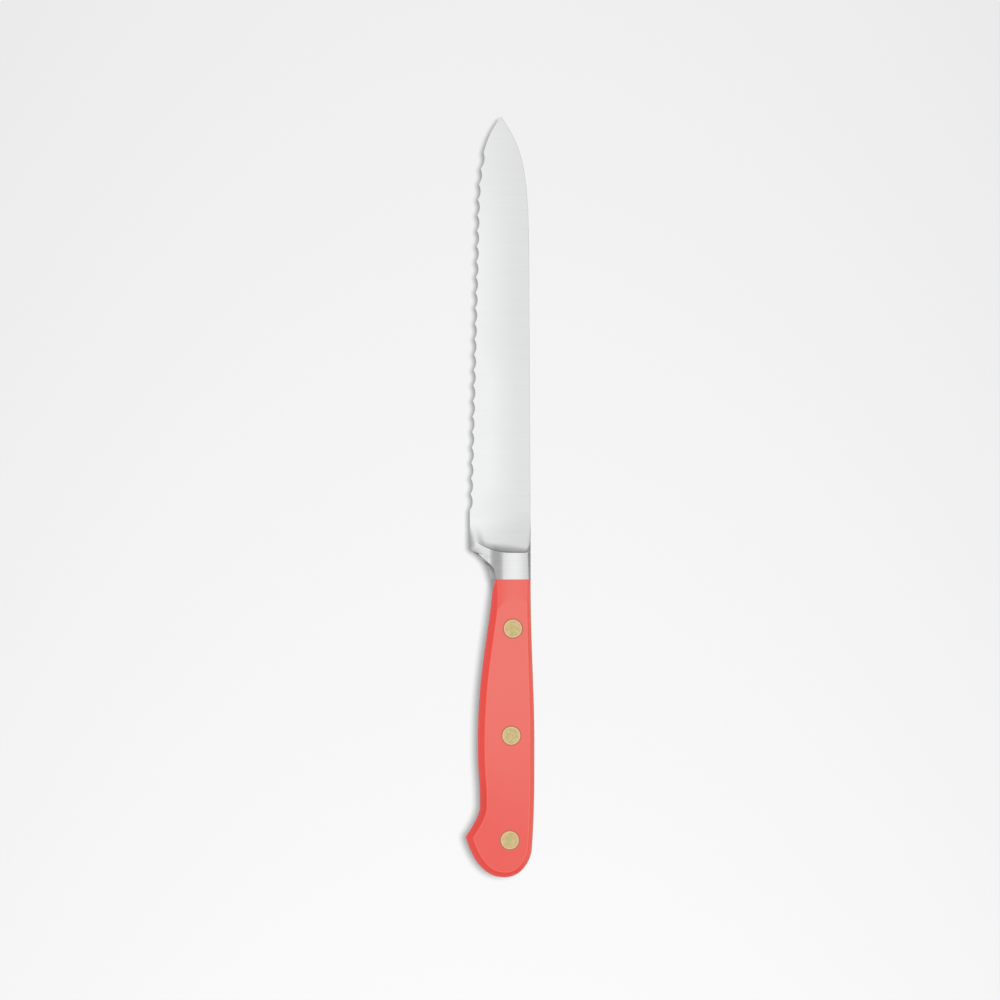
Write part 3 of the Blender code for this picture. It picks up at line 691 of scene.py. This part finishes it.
def tang():
    """The full tang, with its edges broken, and a root that is drawn out of the bolster."""
    belly, back = handle_outline(0.0, GUARD_FOOT_DEPTH, GUARD_AT_FOOT)
    bm = bmesh.new()
    rings = []
    for side, outside in ((-1, False), (-1, True), (1, True), (1, False)):
        if outside:
            ring = inset_ring(belly, back, 0.0, even_width(0.0))
        else:
            ring = inset_ring(belly, back, 0.0, lambda line, _: TANG_BEVEL + shoulder_reach(line))
        root = [(TANG_ROOT, TANG_ROOT_INSET), (TANG_ROOT, FRONT_DEPTH - TANG_ROOT_INSET)]
        ring = np.vstack([ring, root])
        drop = outside * (TANG_BEVEL + shoulder_reach(ring) * SHOULDER_SLOPE)
        rings.append((ring, ring_verts(bm, ring, side * (HALF_TANG - drop))))
    skin(bm, [verts for _, verts in rings], closed=True)
    for side, (ring, verts) in ((-1, rings[0]), (1, rings[-1])):
        filled(
            bm,
            [list(zip(ring, verts))],
            lambda ahead, depth, side=side: side * HALF_TANG,
            lambda point, ring=ring: inside(point, ring),
        )
    return finish_mesh(bm, "tang")


def turned(name, profile, sides, centre):
    """A profile of (radius, height) points turned round an upright line."""
    bm = bmesh.new()
    angles = np.linspace(0, 2 * math.pi, sides, endpoint=False)
    rings = []
    for radius, height in profile:
        points = [
            (centre[0] + radius * math.cos(angle), centre[1] + radius * math.sin(angle))
            for angle in angles
        ]
        if radius == 0:
            points = points[:1] * sides
        rings.append(ring_verts(bm, points, height))
    skin(bm, rings, closed=True)
    return finish_mesh(bm, name)


def cut(item, cutter, operation):
    modifier = item.modifiers.new(cutter.name, "BOOLEAN")
    modifier.operation = operation
    modifier.solver = "EXACT"
    modifier.object = cutter


FRONT_RIVET = (-0.01605, 0.0058)
REAR_RIVET = (0.0122 - HANDLE_LENGTH, 0.0068)
MIDDLE_SHARE = 0.506
MIDDLE_RIVET = tuple(blend(a, b, MIDDLE_SHARE) for a, b in zip(FRONT_RIVET, REAR_RIVET))
RIVETS = {"front": FRONT_RIVET, "middle": MIDDLE_RIVET, "rear": REAR_RIVET}
TUBE_RADIUS = 0.0022
TANG_HOLE = TUBE_RADIUS + 0.0001
DRILL_REACH = 0.003
DRILL_SIDES = 48
DRILL = [(0, -DRILL_REACH), (TANG_HOLE, -DRILL_REACH), (TANG_HOLE, DRILL_REACH), (0, DRILL_REACH)]

forging = add_object("steel_forging", blade_and_bolster())
tools = [add_object("tang_blank", tang())]
cut(forging, tools[0], "UNION")
for rivet, centre in RIVETS.items():
    drill = f"{rivet}_drill"
    tools.append(add_object(drill, turned(drill, DRILL, DRILL_SIDES, centre)))
    cut(forging, tools[-1], "DIFFERENCE")
bpy.context.view_layer.update()
worked = forging.evaluated_get(bpy.context.evaluated_depsgraph_get())
solid = bmesh.new()
solid.from_mesh(bpy.data.meshes.new_from_object(worked))
forging.modifiers.clear()
forging.data = finish_mesh(solid, "steel_forging")
for tool in tools:
    bpy.data.objects.remove(tool)


class Link:
    """An output in a tree of nodes. Sums written with it add Math nodes."""

    def __init__(self, finish, socket):
        self.finish = finish
        self.socket = socket

    def math(self, operation, first, second=0.0):
        return self.finish.node("ShaderNodeMath", {"operation": operation}, {0: first, 1: second})

    def __add__(self, other):
        return self.math("ADD", self, other)

    def __radd__(self, other):
        return self.math("ADD", other, self)

    def __sub__(self, other):
        return self.math("SUBTRACT", self, other)

    def __rsub__(self, other):
        return self.math("SUBTRACT", other, self)

    def __mul__(self, other):
        return self.math("MULTIPLY", self, other)

    def __rmul__(self, other):
        return self.math("MULTIPLY", other, self)

    def __pow__(self, other):
        return self.math("POWER", self, other)

    def __abs__(self):
        return self.math("ABSOLUTE", self)

    def above(self, low, high):
        """0 below low, 1 above high, and a smooth step between them."""
        return self.finish.node(
            "ShaderNodeMapRange",
            {"interpolation_type": "SMOOTHSTEP"},
            {"Value": self, "From Min": low, "From Max": high},
        )


class Finish:
    """A material, or the world's light, as a tree of nodes."""

    def __init__(self, owner):
        owner.use_nodes = True
        self.owner = owner
        self.tree = owner.node_tree

    def node(self, kind, settings, sockets, output=0):
        made = self.tree.nodes.new(kind)
        for name, value in settings.items():
            setattr(made, name, value)
        for name, value in sockets.items():
            self.put(made.inputs[name], value)
        return Link(self, made.outputs[output])

    def put(self, socket, value):
        if isinstance(value, Link):
            self.tree.links.new(value.socket, socket)
        else:
            socket.default_value = value

    def shader(self, sockets):
        shader = self.tree.nodes["Principled BSDF"]
        for name, value in sockets.items():
            self.put(shader.inputs[name], value)

    def position(self):
        return self.node("ShaderNodeTexCoord", {}, {}, "Object")

    def axis(self, vector, name):
        return self.node("ShaderNodeSeparateXYZ", {}, {0: vector}, name)

    def scaled(self, vector, scales):
        return self.node("ShaderNodeVectorMath", {"operation": "MULTIPLY"}, {0: vector, 1: scales})

    def noise(self, vector, scales, detail, roughness=0.6):
        """Even-handed noise from -0.5 to 0.5, with a frequency per metre along each axis."""
        sockets = {"Scale": 1.0, "Detail": detail, "Roughness": roughness}
        sockets["Vector"] = self.scaled(vector, scales)
        return self.node("ShaderNodeTexNoise", {}, sockets) - 0.5

    def painted(self, name):
        """A value that is stored on the mesh's points."""
        return self.node("ShaderNodeAttribute", {"attribute_name": name}, {}, "Fac")

    def tint(self, share, first, second):
        """A mix of two colours."""
        return self.node(
            "ShaderNodeMix", {"data_type": "RGBA"}, {0: share, 6: first, 7: second}, 2
        )

    def between(self, share, first, second):
        """A mix of two values."""
        return self.node("ShaderNodeMix", {}, {0: share, 2: first, 3: second})

    def bump(self, height, distance):
        return self.node("ShaderNodeBump", {}, {"Height": height, "Distance": distance})


def past(link, span):
    """0 behind a span of the knife's length, 1 ahead of it. Spans start at the handle's front."""
    return link.above(FRONT_Y + span[0], FRONT_Y + span[1])


# The blade's tones at its spine and at its edge are a painted reflection.
STEEL_AT_SPINE = (0.71, 0.712, 0.715, 1)
STEEL_AT_EDGE = (0.855, 0.863, 0.865, 1)
# Painted sheen on the bolster and painted shade on the guard.
STEEL_BOLSTER = (0.865, 0.868, 0.870, 1)
STEEL_GUARD = (0.785, 0.790, 0.800, 1)
STEEL_SCRATCH_AND_HIGHLIGHT = (0.94, 0.94, 0.94, 1)
STEEL_SHADE = (0.10, 0.10, 0.10, 1)

# Marks in the steel per metre, across, along and through the knife: brushed lines and clouds.
# The guard's lines are counted along two slanted axes instead.
BLADE_LINES = (110, 1500, 110)
BOLSTER_LINES = (14, 1500, 14)
GUARD_LINES = (110, 1300, 0)
COARSE_LINES = (30, 420, 30)
STEEL_CLOUDS = (55, 35, 55)
LINE_ROUGHNESS = 0.7

# Where the painted reflection on the blade changes, from the handle's front: a brighter middle, a
# duller tip and painted shade at the heel.
BRIGHT_START = (0.024, 0.034)
BRIGHT_END = (0.060, 0.080)
TIP_SPAN = (0.105, 0.140)
HEEL_SPAN = (0.0175, 0.0245)
HEEL_SLANT = 0.35
BRIGHT_BELOW_SPINE = 0.002

STEEL_ROUGHNESS = 0.30
STEEL_RELIEF = 0.000005

steel = Finish(bpy.data.materials.new("brushed_steel"))
where = steel.position()
across = steel.axis(where, "X")
along = steel.axis(where, "Y")
on_bolster = steel.painted("bolster")
on_guard = steel.painted("guard")
straight = steel.noise(where, BLADE_LINES, 4.0, LINE_ROUGHNESS)
turned_lines = steel.noise(where, BOLSTER_LINES, 3.0, LINE_ROUGHNESS)
slant = steel.node("ShaderNodeCombineXYZ", {}, {"X": across + along, "Y": across - along})
slanted = steel.noise(slant, GUARD_LINES, 4.0, LINE_ROUGHNESS)
brushing = steel.between(on_bolster, straight, turned_lines * 2)
brushing = steel.between(on_guard, brushing, slanted * 2.6)
coarse = steel.noise(where, COARSE_LINES, 2.0)
cloud = steel.noise(where, STEEL_CLOUDS, 2.0)
# The blade's tone is a painted reflection: lighter towards the edge and in its middle, duller
# towards the tip.
towards_edge = 1 - across.above(SPINE_X - HEEL_DEPTH, SPINE_X - BRIGHT_BELOW_SPINE)
bright_middle = past(along, BRIGHT_START) * (1 - past(along, BRIGHT_END))
near_heel = 1 - past(along - (across - SPINE_X) * HEEL_SLANT, HEEL_SPAN)
brightness = towards_edge * (1 - past(along, TIP_SPAN) * 0.42)
brightness = brightness + bright_middle * (0.08 + towards_edge * 0.36)
tone = steel.tint(brightness, STEEL_AT_SPINE, STEEL_AT_EDGE)
# Painted shade on the blade beside the heel.
tone = steel.tint(near_heel * 0.11, tone, STEEL_SHADE)
# The bolster's paler tone and the guard's darker one are painted sheen and painted shade on the
# same steel.
tone = steel.tint(on_bolster, tone, STEEL_BOLSTER)
tone = steel.tint(on_guard, tone, STEEL_GUARD)
marks = brushing * (0.55 + on_bolster * 1.20) + coarse * 0.20 + cloud * 0.30
# A painted highlight along the rim and the plunge line is mixed in with the scratches.
marks = marks + steel.painted("edge_highlight") * 0.9 + 0.15 + on_bolster * 0.15
tone = steel.tint(marks, tone, STEEL_SCRATCH_AND_HIGHLIGHT)
# Painted shade on the rim's bevel and the spine's chamfer.
tone = steel.tint(steel.painted("bevel_shade") * 0.28, tone, STEEL_SHADE)
steel.shader(
    {
        "Base Color": tone,
        "Metallic": 1.0,
        "Roughness": STEEL_ROUGHNESS + brushing * 0.12 + cloud * 0.06,
        "Normal": steel.bump(brushing + coarse * 0.4, STEEL_RELIEF),
    }
)


def fit(piece, node, finish):
    """Gives a piece its finish, and puts it on the knife in the place of a CAD node.

    Diffuse rays pass it by, because the photographed paper takes no colour from the handle.
    """
    piece.data.materials.append(finish.owner)
    piece.visible_diffuse = False
    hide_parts(node)
    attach(piece, "root")


fit(forging, "forged_blade", steel)


# The scales: two coral plastic halves of the handle, moulded from one tool and its mirror image,
# then ground flush with the tang. Each has a sloped strip round its rim and a crowned ramp down
# to the bolster, and is drilled for the rivets.

HALF_HANDLE = 0.0065
BELLY_STRIP = 0.0024
SPINE_STRIP = 0.00150
STRIP_TURN = 1.5
BELLY_TAPER = 0.86
BELLY_TAPER_RUN = 0.0029
SPINE_TAPER = 0.28
SPINE_TAPER_RUN = 0.025
LIP = 0.00022
LEAST_DROP = 0.0016
LEAST_WALL = 0.0004
STRIP_SLOPE = 1.2
STRIP_FULLNESS = 1.3
STRIP_RINGS = 12
RING_CROWDING = 1.5
RIDGE_START = 0.88
RAMP_ANGLE = math.radians(12)
RAMP_SOFTNESS = 0.00006
RAMP_FOOT = -0.0145
RAMP_DEPTH = 0.0120
RAMP_GRAIN = 0.0003
GLUE_LINE = 0.00004
SCALE_BASE = HALF_TANG + GLUE_LINE
SCALE_FRONT = -0.00005
SCALE_BEVEL = 0.00010
HEAD_RADIUS = 0.0030
HEAD_ROOM = 0.00002
HEAD_SEAT = 0.0012
MOUTH_BEVEL = 0.00036
MOUTH_LIP = 0.00002
MOUTH_SLOPE = 0.3
MOUTH_CLEARANCE = 0.0034
HOLE_SIDES = 72


def strip_width(line, along):
    """Widest where the outline faces the belly, narrowest at the spine and near the bolster."""
    belly = ((1 - along[:, 0]) / 2) ** STRIP_TURN
    behind = SCALE_FRONT - line[:, 0]
    narrowing = belly * BELLY_TAPER * np.exp(-behind / BELLY_TAPER_RUN)
    narrowing = narrowing + (1 - belly) * SPINE_TAPER * np.exp(-behind / SPINE_TAPER_RUN)
    return blend(SPINE_STRIP, BELLY_STRIP, belly) * (1 - narrowing)


def scale_top(ahead, depth):
    """Flat, with a crowned ramp down to the bolster and a soft crease between them."""
    ramp = HALF_BOLSTER - crown(depth) - ahead * math.tan(RAMP_ANGLE)
    over = ramp - HALF_HANDLE
    return HALF_HANDLE + (over - np.sqrt(over**2 + RAMP_SOFTNESS**2)) / 2


def circle(centre, radius):
    angles = np.linspace(0, 2 * math.pi, HOLE_SIDES, endpoint=False)
    return np.array(centre) + radius * np.stack([np.cos(angles), np.sin(angles)], axis=1)


SCALE_OUTLINE = handle_outline(SCALE_FRONT)


def scale_ring(width_of):
    return inset_ring(*SCALE_OUTLINE, SCALE_FRONT, width_of)


def scale_rings():
    """Each ring's points, heights and painted highlight, from the glue line up to the flat."""
    footing = scale_ring(even_width(SCALE_BEVEL))
    outer = scale_ring(even_width(0.0))
    crease = scale_ring(strip_width)
    inner = scale_ring(lambda *at: strip_width(*at) + LIP)
    crease_top = scale_top(crease[:, 0], crease[:, 1])
    drops = strip_width(outer, directions(outer)) * STRIP_SLOPE
    drops = np.minimum(np.maximum(drops, LEAST_DROP), crease_top - SCALE_BASE - LEAST_WALL)
    rings = [(footing, np.full(len(footing), SCALE_BASE), 0.0)]
    rings.append((outer, np.full(len(outer), SCALE_BASE + SCALE_BEVEL), 0.0))
    for share in 1 - np.linspace(1, 0, STRIP_RINGS + 1) ** RING_CROWDING:
        rise = (1 - (1 - share) ** STRIP_FULLNESS) ** (1 / STRIP_FULLNESS)
        ring = scale_ring(lambda *at, share=share: strip_width(*at) * share)
        # Rings near the crease carry a painted highlight.
        wear_and_highlight = max(share - RIDGE_START, 0) / (1 - RIDGE_START)
        rings.append((ring, crease_top - drops * (1 - rise), wear_and_highlight))
    rings.append((inner, scale_top(inner[:, 0], inner[:, 1]), 0.0))
    return rings


def rivet_hole(bm, centre, side):
    """A hole with a bevelled mouth and a seat for the head: its loops from the flat down."""
    mouth = HEAD_RADIUS + HEAD_ROOM
    seat = HALF_HANDLE - HEAD_SEAT - HEAD_ROOM
    steps = [
        (mouth + MOUTH_BEVEL, HALF_HANDLE),
        (mouth + MOUTH_BEVEL - MOUTH_LIP, HALF_HANDLE - MOUTH_SLOPE * MOUTH_LIP),
        (mouth, HALF_HANDLE - MOUTH_SLOPE * MOUTH_BEVEL),
        (mouth, seat),
        (TUBE_RADIUS + HEAD_ROOM, seat),
        (TUBE_RADIUS + HEAD_ROOM, SCALE_BASE),
    ]
    hole = [(circle(centre, radius), side * high) for radius, high in steps]
    hole = [(points, ring_verts(bm, points, high)) for points, high in hole]
    skin(bm, [verts for _, verts in hole], closed=True)
    return hole


def clear_of(point, holes):
    """Whether a flat point lies in none of the holes."""
    return all(not inside(point, points) for points, _ in holes)


def ramp_points(mouths):
    """A fine grid over the ramp, inside the strip and clear of the front rivet."""
    ahead, depth = np.meshgrid(
        np.arange(RAMP_FOOT, SCALE_FRONT, RAMP_GRAIN), np.arange(0.0, RAMP_DEPTH, RAMP_GRAIN)
    )
    room = scale_ring(lambda *at: strip_width(*at) + LIP + 0.5 * RAMP_GRAIN)
    return [
        point
        for point in np.stack([ahead.ravel(), depth.ravel()], axis=1)
        if inside(point, room)
        and point[0] < SCALE_FRONT - 0.5 * RAMP_GRAIN
        and clear_of(point, mouths)
        and np.linalg.norm(point - np.array(FRONT_RIVET)) > MOUTH_CLEARANCE
    ]


def scale(name, side):
    """One half of the handle, above the tang (1) or below it (-1)."""
    bm = bmesh.new()
    ridge = bm.verts.layers.float.new("ridge")
    hole_shade = bm.verts.layers.float.new("hole_shade")
    rings = scale_rings()
    loops = []
    for ring, heights, wear_and_highlight in rings:
        loops.append(ring_verts(bm, ring, side * heights))
        for vert in loops[-1]:
            vert[ridge] = float(wear_and_highlight)
    skin(bm, loops)
    footing, inner = rings[0][0], rings[-1][0]
    front = np.linspace(inner[-1], inner[0], 40)[1:-1]
    front_verts = ring_verts(bm, front, side * scale_top(front[:, 0], front[:, 1]))
    left = [loop[0] for loop in loops]
    right = [loop[-1] for loop in loops]
    bm.faces.new(left + front_verts[::-1] + right[::-1])
    mouths, roots = [], []
    for centre in RIVETS.values():
        hole = rivet_hole(bm, centre, side)
        # Painted shade on the walls of each hole.
        for _, wall in hole[1:]:
            for vert in wall:
                vert[hole_shade] = 1.0
        mouths.append(hole[0])
        roots.append(hole[-1])
    top = np.vstack([inner, front])
    filled(
        bm,
        [list(zip(top, loops[-1] + front_verts)), *(list(zip(*mouth)) for mouth in mouths)],
        lambda ahead, depth: side * float(scale_top(ahead, depth)),
        lambda point: inside(point, top) and clear_of(point, mouths),
        ramp_points(mouths),
    )
    filled(
        bm,
        [list(zip(footing, loops[0])), *(list(zip(*root)) for root in roots)],
        lambda ahead, depth: side * SCALE_BASE,
        lambda point: inside(point, footing) and clear_of(point, roots),
    )
    return finish_mesh(bm, name)


CORAL = (0.90, 0.078, 0.060, 1)
CORAL_STEEP = (1.0, 0.048, 0.037, 1)
CORAL_IN_THROAT = (0.74, 0.040, 0.034, 1)
CORAL_AT_SPINE = (0.91, 0.130, 0.092, 1)
# Level faces: a paler tone for their painted sheen, deeper towards the butt.
CORAL_FLAT_SHEEN = (0.87, 0.170, 0.140, 1)
CORAL_AT_BUTT = (0.85, 0.112, 0.092, 1)
CORAL_RIDGE = (0.96, 0.200, 0.160, 1)
CORAL_HOLE_SHADE = (0.52, 0.180, 0.105, 1)

# Marks in the plastic per metre, in the same order: moulded grain, sanding lines and flow.
CORAL_GRAIN = (2600, 2600, 2600)
SANDING_LINES = (2200, 60, 2200)
CORAL_FLOW = (90, 28, 90)

# Where its painted shade, sheen and light change, from the handle's front and from the spine line.
THROAT_START = (-0.0860, -0.0800)
THROAT_END = (-0.0730, -0.0620)
SHEEN_SPAN = (-HANDLE_LENGTH, -0.35 * HANDLE_LENGTH)
SPINE_REACH = 0.004

# How level a face is where it takes the flats' painted sheen, and where it is steep.
SHEEN_LEVELS = (0.90, 0.995)
STEEP_LEVELS = (0.50, 0.84)

CORAL_ROUGHNESS = 0.42
CORAL_RELIEF = 0.000004

coral = Finish(bpy.data.materials.new("coral_plastic"))
where = coral.position()
along = coral.axis(where, "Y")
normal = coral.node("ShaderNodeNewGeometry", {}, {}, "True Normal")
flatness = abs(coral.axis(normal, "Z"))
ground = flatness.above(*SHEEN_LEVELS)
steep = 1 - flatness.above(*STEEP_LEVELS)
in_throat = past(along, THROAT_START) * (1 - past(along, THROAT_END))
near_spine = coral.axis(where, "X").above(SPINE_X - SPINE_REACH, SPINE_X)
grain = coral.noise(where, CORAL_GRAIN, 3.0)
sanding = coral.noise(where, SANDING_LINES, 2.0)
flow = coral.noise(where, CORAL_FLOW, 2.0)
# The flats carry a painted sheen that fades towards the butt, with the plastic's own flow and
# sanding lines.
sheen_and_sanding = past(along, SHEEN_SPAN) + flow * 0.5 + sanding * 0.12
flat = coral.tint(sheen_and_sanding, CORAL_AT_BUTT, CORAL_FLAT_SHEEN)
# Painted light: steep faces of the strip are given a brighter, deeper red.
strip = coral.tint(steep, CORAL, CORAL_STEEP)
# Painted shade in the throat, where the strip curves in above the beak.
strip = coral.tint(in_throat * 0.42, strip, CORAL_IN_THROAT)
# Painted light: the strip is paler along the spine, on the side that faces the lamp.
strip = coral.tint(near_spine, strip, CORAL_AT_SPINE)
# Level faces take the flats' tone with its painted sheen.
tone = coral.tint(ground, strip, flat)
# A painted highlight along the crease between the strip and the flat.
tone = coral.tint(coral.painted("ridge") * (0.8 + flow), tone, CORAL_RIDGE)
# Painted shade in the rivet holes.
tone = coral.tint(coral.painted("hole_shade"), tone, CORAL_HOLE_SHADE)
coral.shader(
    {
        "Base Color": tone,
        "Roughness": CORAL_ROUGHNESS + grain * 0.08 + sanding * 0.06,
        "Normal": coral.bump(grain + sanding * 0.6, CORAL_RELIEF),
    }
)
for name, side in (("upper", 1), ("lower", -1)):
    piece = f"{name}_coral_scale"
    fit(add_object(piece, scale(piece, side)), f"{name}_scale", coral)


# The rivets: three cutler's rivets of brass, each a head with a tube and a head with a pin that is
# pressed into it. The heads are ground flush with the scales, which leaves fine scratches and a
# brighter worn rim.

HEAD_SINK = 0.00002
HEAD_CHAMFER = 0.00008
PIN_RADIUS = 0.00125
TUBE_BORE = PIN_RADIUS + 0.00005
PIN_END_ROOM = 0.0010
TUBE_END_ROOM = 0.0003
RIVET_SIDES = 96
RIM_START = 0.00258
RIM_SOFTNESS = 0.0001

BRASS = (0.57, 0.520, 0.225, 1)
BRASS_SCRATCH = (0.89, 0.590, 0.350, 1)
BRASS_RIM = (0.96, 0.61, 0.40, 1)

# Marks in the brass per metre, in the same order.
SCRATCHES = (900, 5200, 900)
SWIRLS = (3800, 1500, 900)
SPOTS = (900, 900, 900)

BRASS_ROUGHNESS = 0.36
BRASS_RELIEF = 0.000005

brass = Finish(bpy.data.materials.new("ground_brass"))
where = brass.position()
scratches = brass.noise(where, SCRATCHES, 3.0, LINE_ROUGHNESS)
swirl = brass.noise(where, SWIRLS, 3.0, LINE_ROUGHNESS)
spots = brass.noise(where, SPOTS, 2.0)
tone = brass.tint(scratches * 1.2 + swirl * 0.9 + spots * 2.4 + 0.32, BRASS, BRASS_SCRATCH)
brass.shader(
    {
        "Base Color": brass.tint(brass.painted("rim"), tone, BRASS_RIM),
        "Metallic": 1.0,
        "Roughness": BRASS_ROUGHNESS + scratches * 0.12,
        "Normal": brass.bump(scratches + swirl * 0.5, BRASS_RELIEF),
    }
)

# Rings on a head's face, close together where the worn rim starts.
FACE_RINGS = (0.0, 0.0012, 0.0020, 0.00255, 0.00270)
HEAD_TOP = HALF_HANDLE - HEAD_SINK
HEAD_FOOT = HEAD_TOP - HEAD_SEAT
PIN_END = HEAD_FOOT - PIN_END_ROOM
TUBE_HALF = [
    *((radius, HEAD_TOP) for radius in FACE_RINGS),
    (HEAD_RADIUS - HEAD_CHAMFER, HEAD_TOP),
    (HEAD_RADIUS, HEAD_TOP - HEAD_CHAMFER),
    (HEAD_RADIUS, HEAD_FOOT),
    (TUBE_RADIUS, HEAD_FOOT),
    (TUBE_RADIUS, TUBE_END_ROOM - HEAD_FOOT),
    (TUBE_BORE, TUBE_END_ROOM - HEAD_FOOT),
    (TUBE_BORE, PIN_END + TUBE_END_ROOM),
    (0.0, PIN_END + TUBE_END_ROOM),
]
PIN_HALF = [
    (0.0, PIN_END),
    (PIN_RADIUS, PIN_END),
    (PIN_RADIUS, -HEAD_FOOT),
    (HEAD_RADIUS, -HEAD_FOOT),
    (HEAD_RADIUS, HEAD_CHAMFER - HEAD_TOP),
    (HEAD_RADIUS - HEAD_CHAMFER, -HEAD_TOP),
    *((radius, -HEAD_TOP) for radius in FACE_RINGS[::-1]),
]


def rivet_half(name, profile, centre):
    """One brass half of a rivet, which stores on its points how worn they are."""
    mesh = turned(name, profile, RIVET_SIDES, centre)
    axis = place(*centre)
    rim = mesh.attributes.new("rim", "FLOAT", "POINT")
    for vertex, wear_and_highlight in zip(mesh.vertices, rim.data):
        radius = math.hypot(vertex.co.x - axis.x, vertex.co.y - axis.y)
        wear_and_highlight.value = float(ease((radius - RIM_START) / RIM_SOFTNESS))
    return add_object(name, mesh)


for rivet, centre in RIVETS.items():
    tube = rivet_half(f"{rivet}_rivet_tube_half", TUBE_HALF, centre)
    fit(tube, f"{rivet}_rivet_female", brass)
    pin = rivet_half(f"{rivet}_rivet_pin_half", PIN_HALF, centre)
    fit(pin, f"{rivet}_rivet_male", brass)


# The studio: a wide sheet of pale paper, a white dome, and one lamp high up on the right that
# throws the narrow shadow on the left of the knife. Its twin falls on the paper alone, which
# makes that shadow deeper.

FLOOR_SIZE = 30.0
FLOOR_DROP = 0.00002
FLOOR_MIDDLE = 0.918
FLOOR_SLOPE = -0.302
FLOOR_SPAN = 0.17
FLOOR_SIDES = 0.048
KEY_TILTS = (math.radians(-2), math.radians(8.5))
KEY_SPREAD = math.radians(17)
# A lamp of strength pi shows white paper as white. The paper is darker by as much as its own
# lamp adds.
KEY_LEVEL = 0.49 * math.pi
PAPER_KEY_LEVEL = 0.30 * math.pi
PAPER_SHARE = 0.769
DOME_TOP = 1.15
DOME_SIDE = 0.26
DOME_LEAN = (-0.10, 0.10)
DOME_POWER = 5.0
LENS = 300
SENSOR = 36
PHOTO_WIDTH = 0.3275
PHOTO_CENTRE = (0.00002, -0.00105)
CLIPPING = (0.1, 100.0)

paper = bmesh.new()
bmesh.ops.create_grid(paper, x_segments=2, y_segments=2, size=FLOOR_SIZE / 2)
floor_mesh = bpy.data.meshes.new("floor")
paper.to_mesh(floor_mesh)
paper.free()
floor = add_object("floor", floor_mesh)
floor.location.z = -FLOOR_DROP
sheet = Finish(bpy.data.materials.new("pale_paper"))
where = sheet.position()


def clamped(link, low, high):
    return link.finish.node("ShaderNodeClamp", {}, {"Value": link, "Min": low, "Max": high})


# The paper's colour is painted lighter towards -Y and darker towards the sides, as the light falls
# off.
up = clamped(sheet.axis(where, "Y"), -FLOOR_SPAN, FLOOR_SPAN)
aside = clamped(sheet.axis(where, "X"), -FLOOR_SPAN, FLOOR_SPAN)
grey = (FLOOR_MIDDLE + up * FLOOR_SLOPE) * PAPER_SHARE
grey = grey * (1 - aside * aside * (FLOOR_SIDES / FLOOR_SPAN**2))
sheet.shader({"Base Color": grey, "Roughness": 0.9, "Specular IOR Level": 0.0})
floor.data.materials.append(sheet.owner)

world = bpy.data.worlds.new("dome")
bpy.context.scene.world = world
dome = Finish(world)
looking = dome.node("ShaderNodeTexCoord", {}, {}, "Generated")
rise = clamped(dome.axis(looking, "Z"), 0.0, 1.0)
lean = dome.axis(looking, "X") * DOME_LEAN[0] + dome.axis(looking, "Y") * DOME_LEAN[1]
glow = DOME_SIDE + lean + rise**DOME_POWER * (DOME_TOP - DOME_SIDE)
dome.put(dome.tree.nodes["Background"].inputs["Color"], glow)


def sun(name, strength):
    light = bpy.data.lights.new(name, "SUN")
    light.angle = KEY_SPREAD
    light.energy = strength
    lamp = add_object(name, light)
    lamp.rotation_euler = (*KEY_TILTS, 0)
    lamp.visible_glossy = False
    return lamp


sun("key", KEY_LEVEL)
paper_key = sun("paper_key", PAPER_KEY_LEVEL)
paper_only = bpy.data.collections.new("paper_only")
paper_only.objects.link(floor)
paper_key.light_linking.receiver_collection = paper_only

lens = bpy.data.cameras.new("camera")
lens.lens = LENS
lens.sensor_width = SENSOR
lens.clip_start, lens.clip_end = CLIPPING
camera = add_object("camera", lens)
camera.location = (*PHOTO_CENTRE, MIDDLE_Z + PHOTO_WIDTH * LENS / SENSOR)
bpy.context.scene.camera = camera
bpy.context.scene.view_settings.view_transform = "Standard"
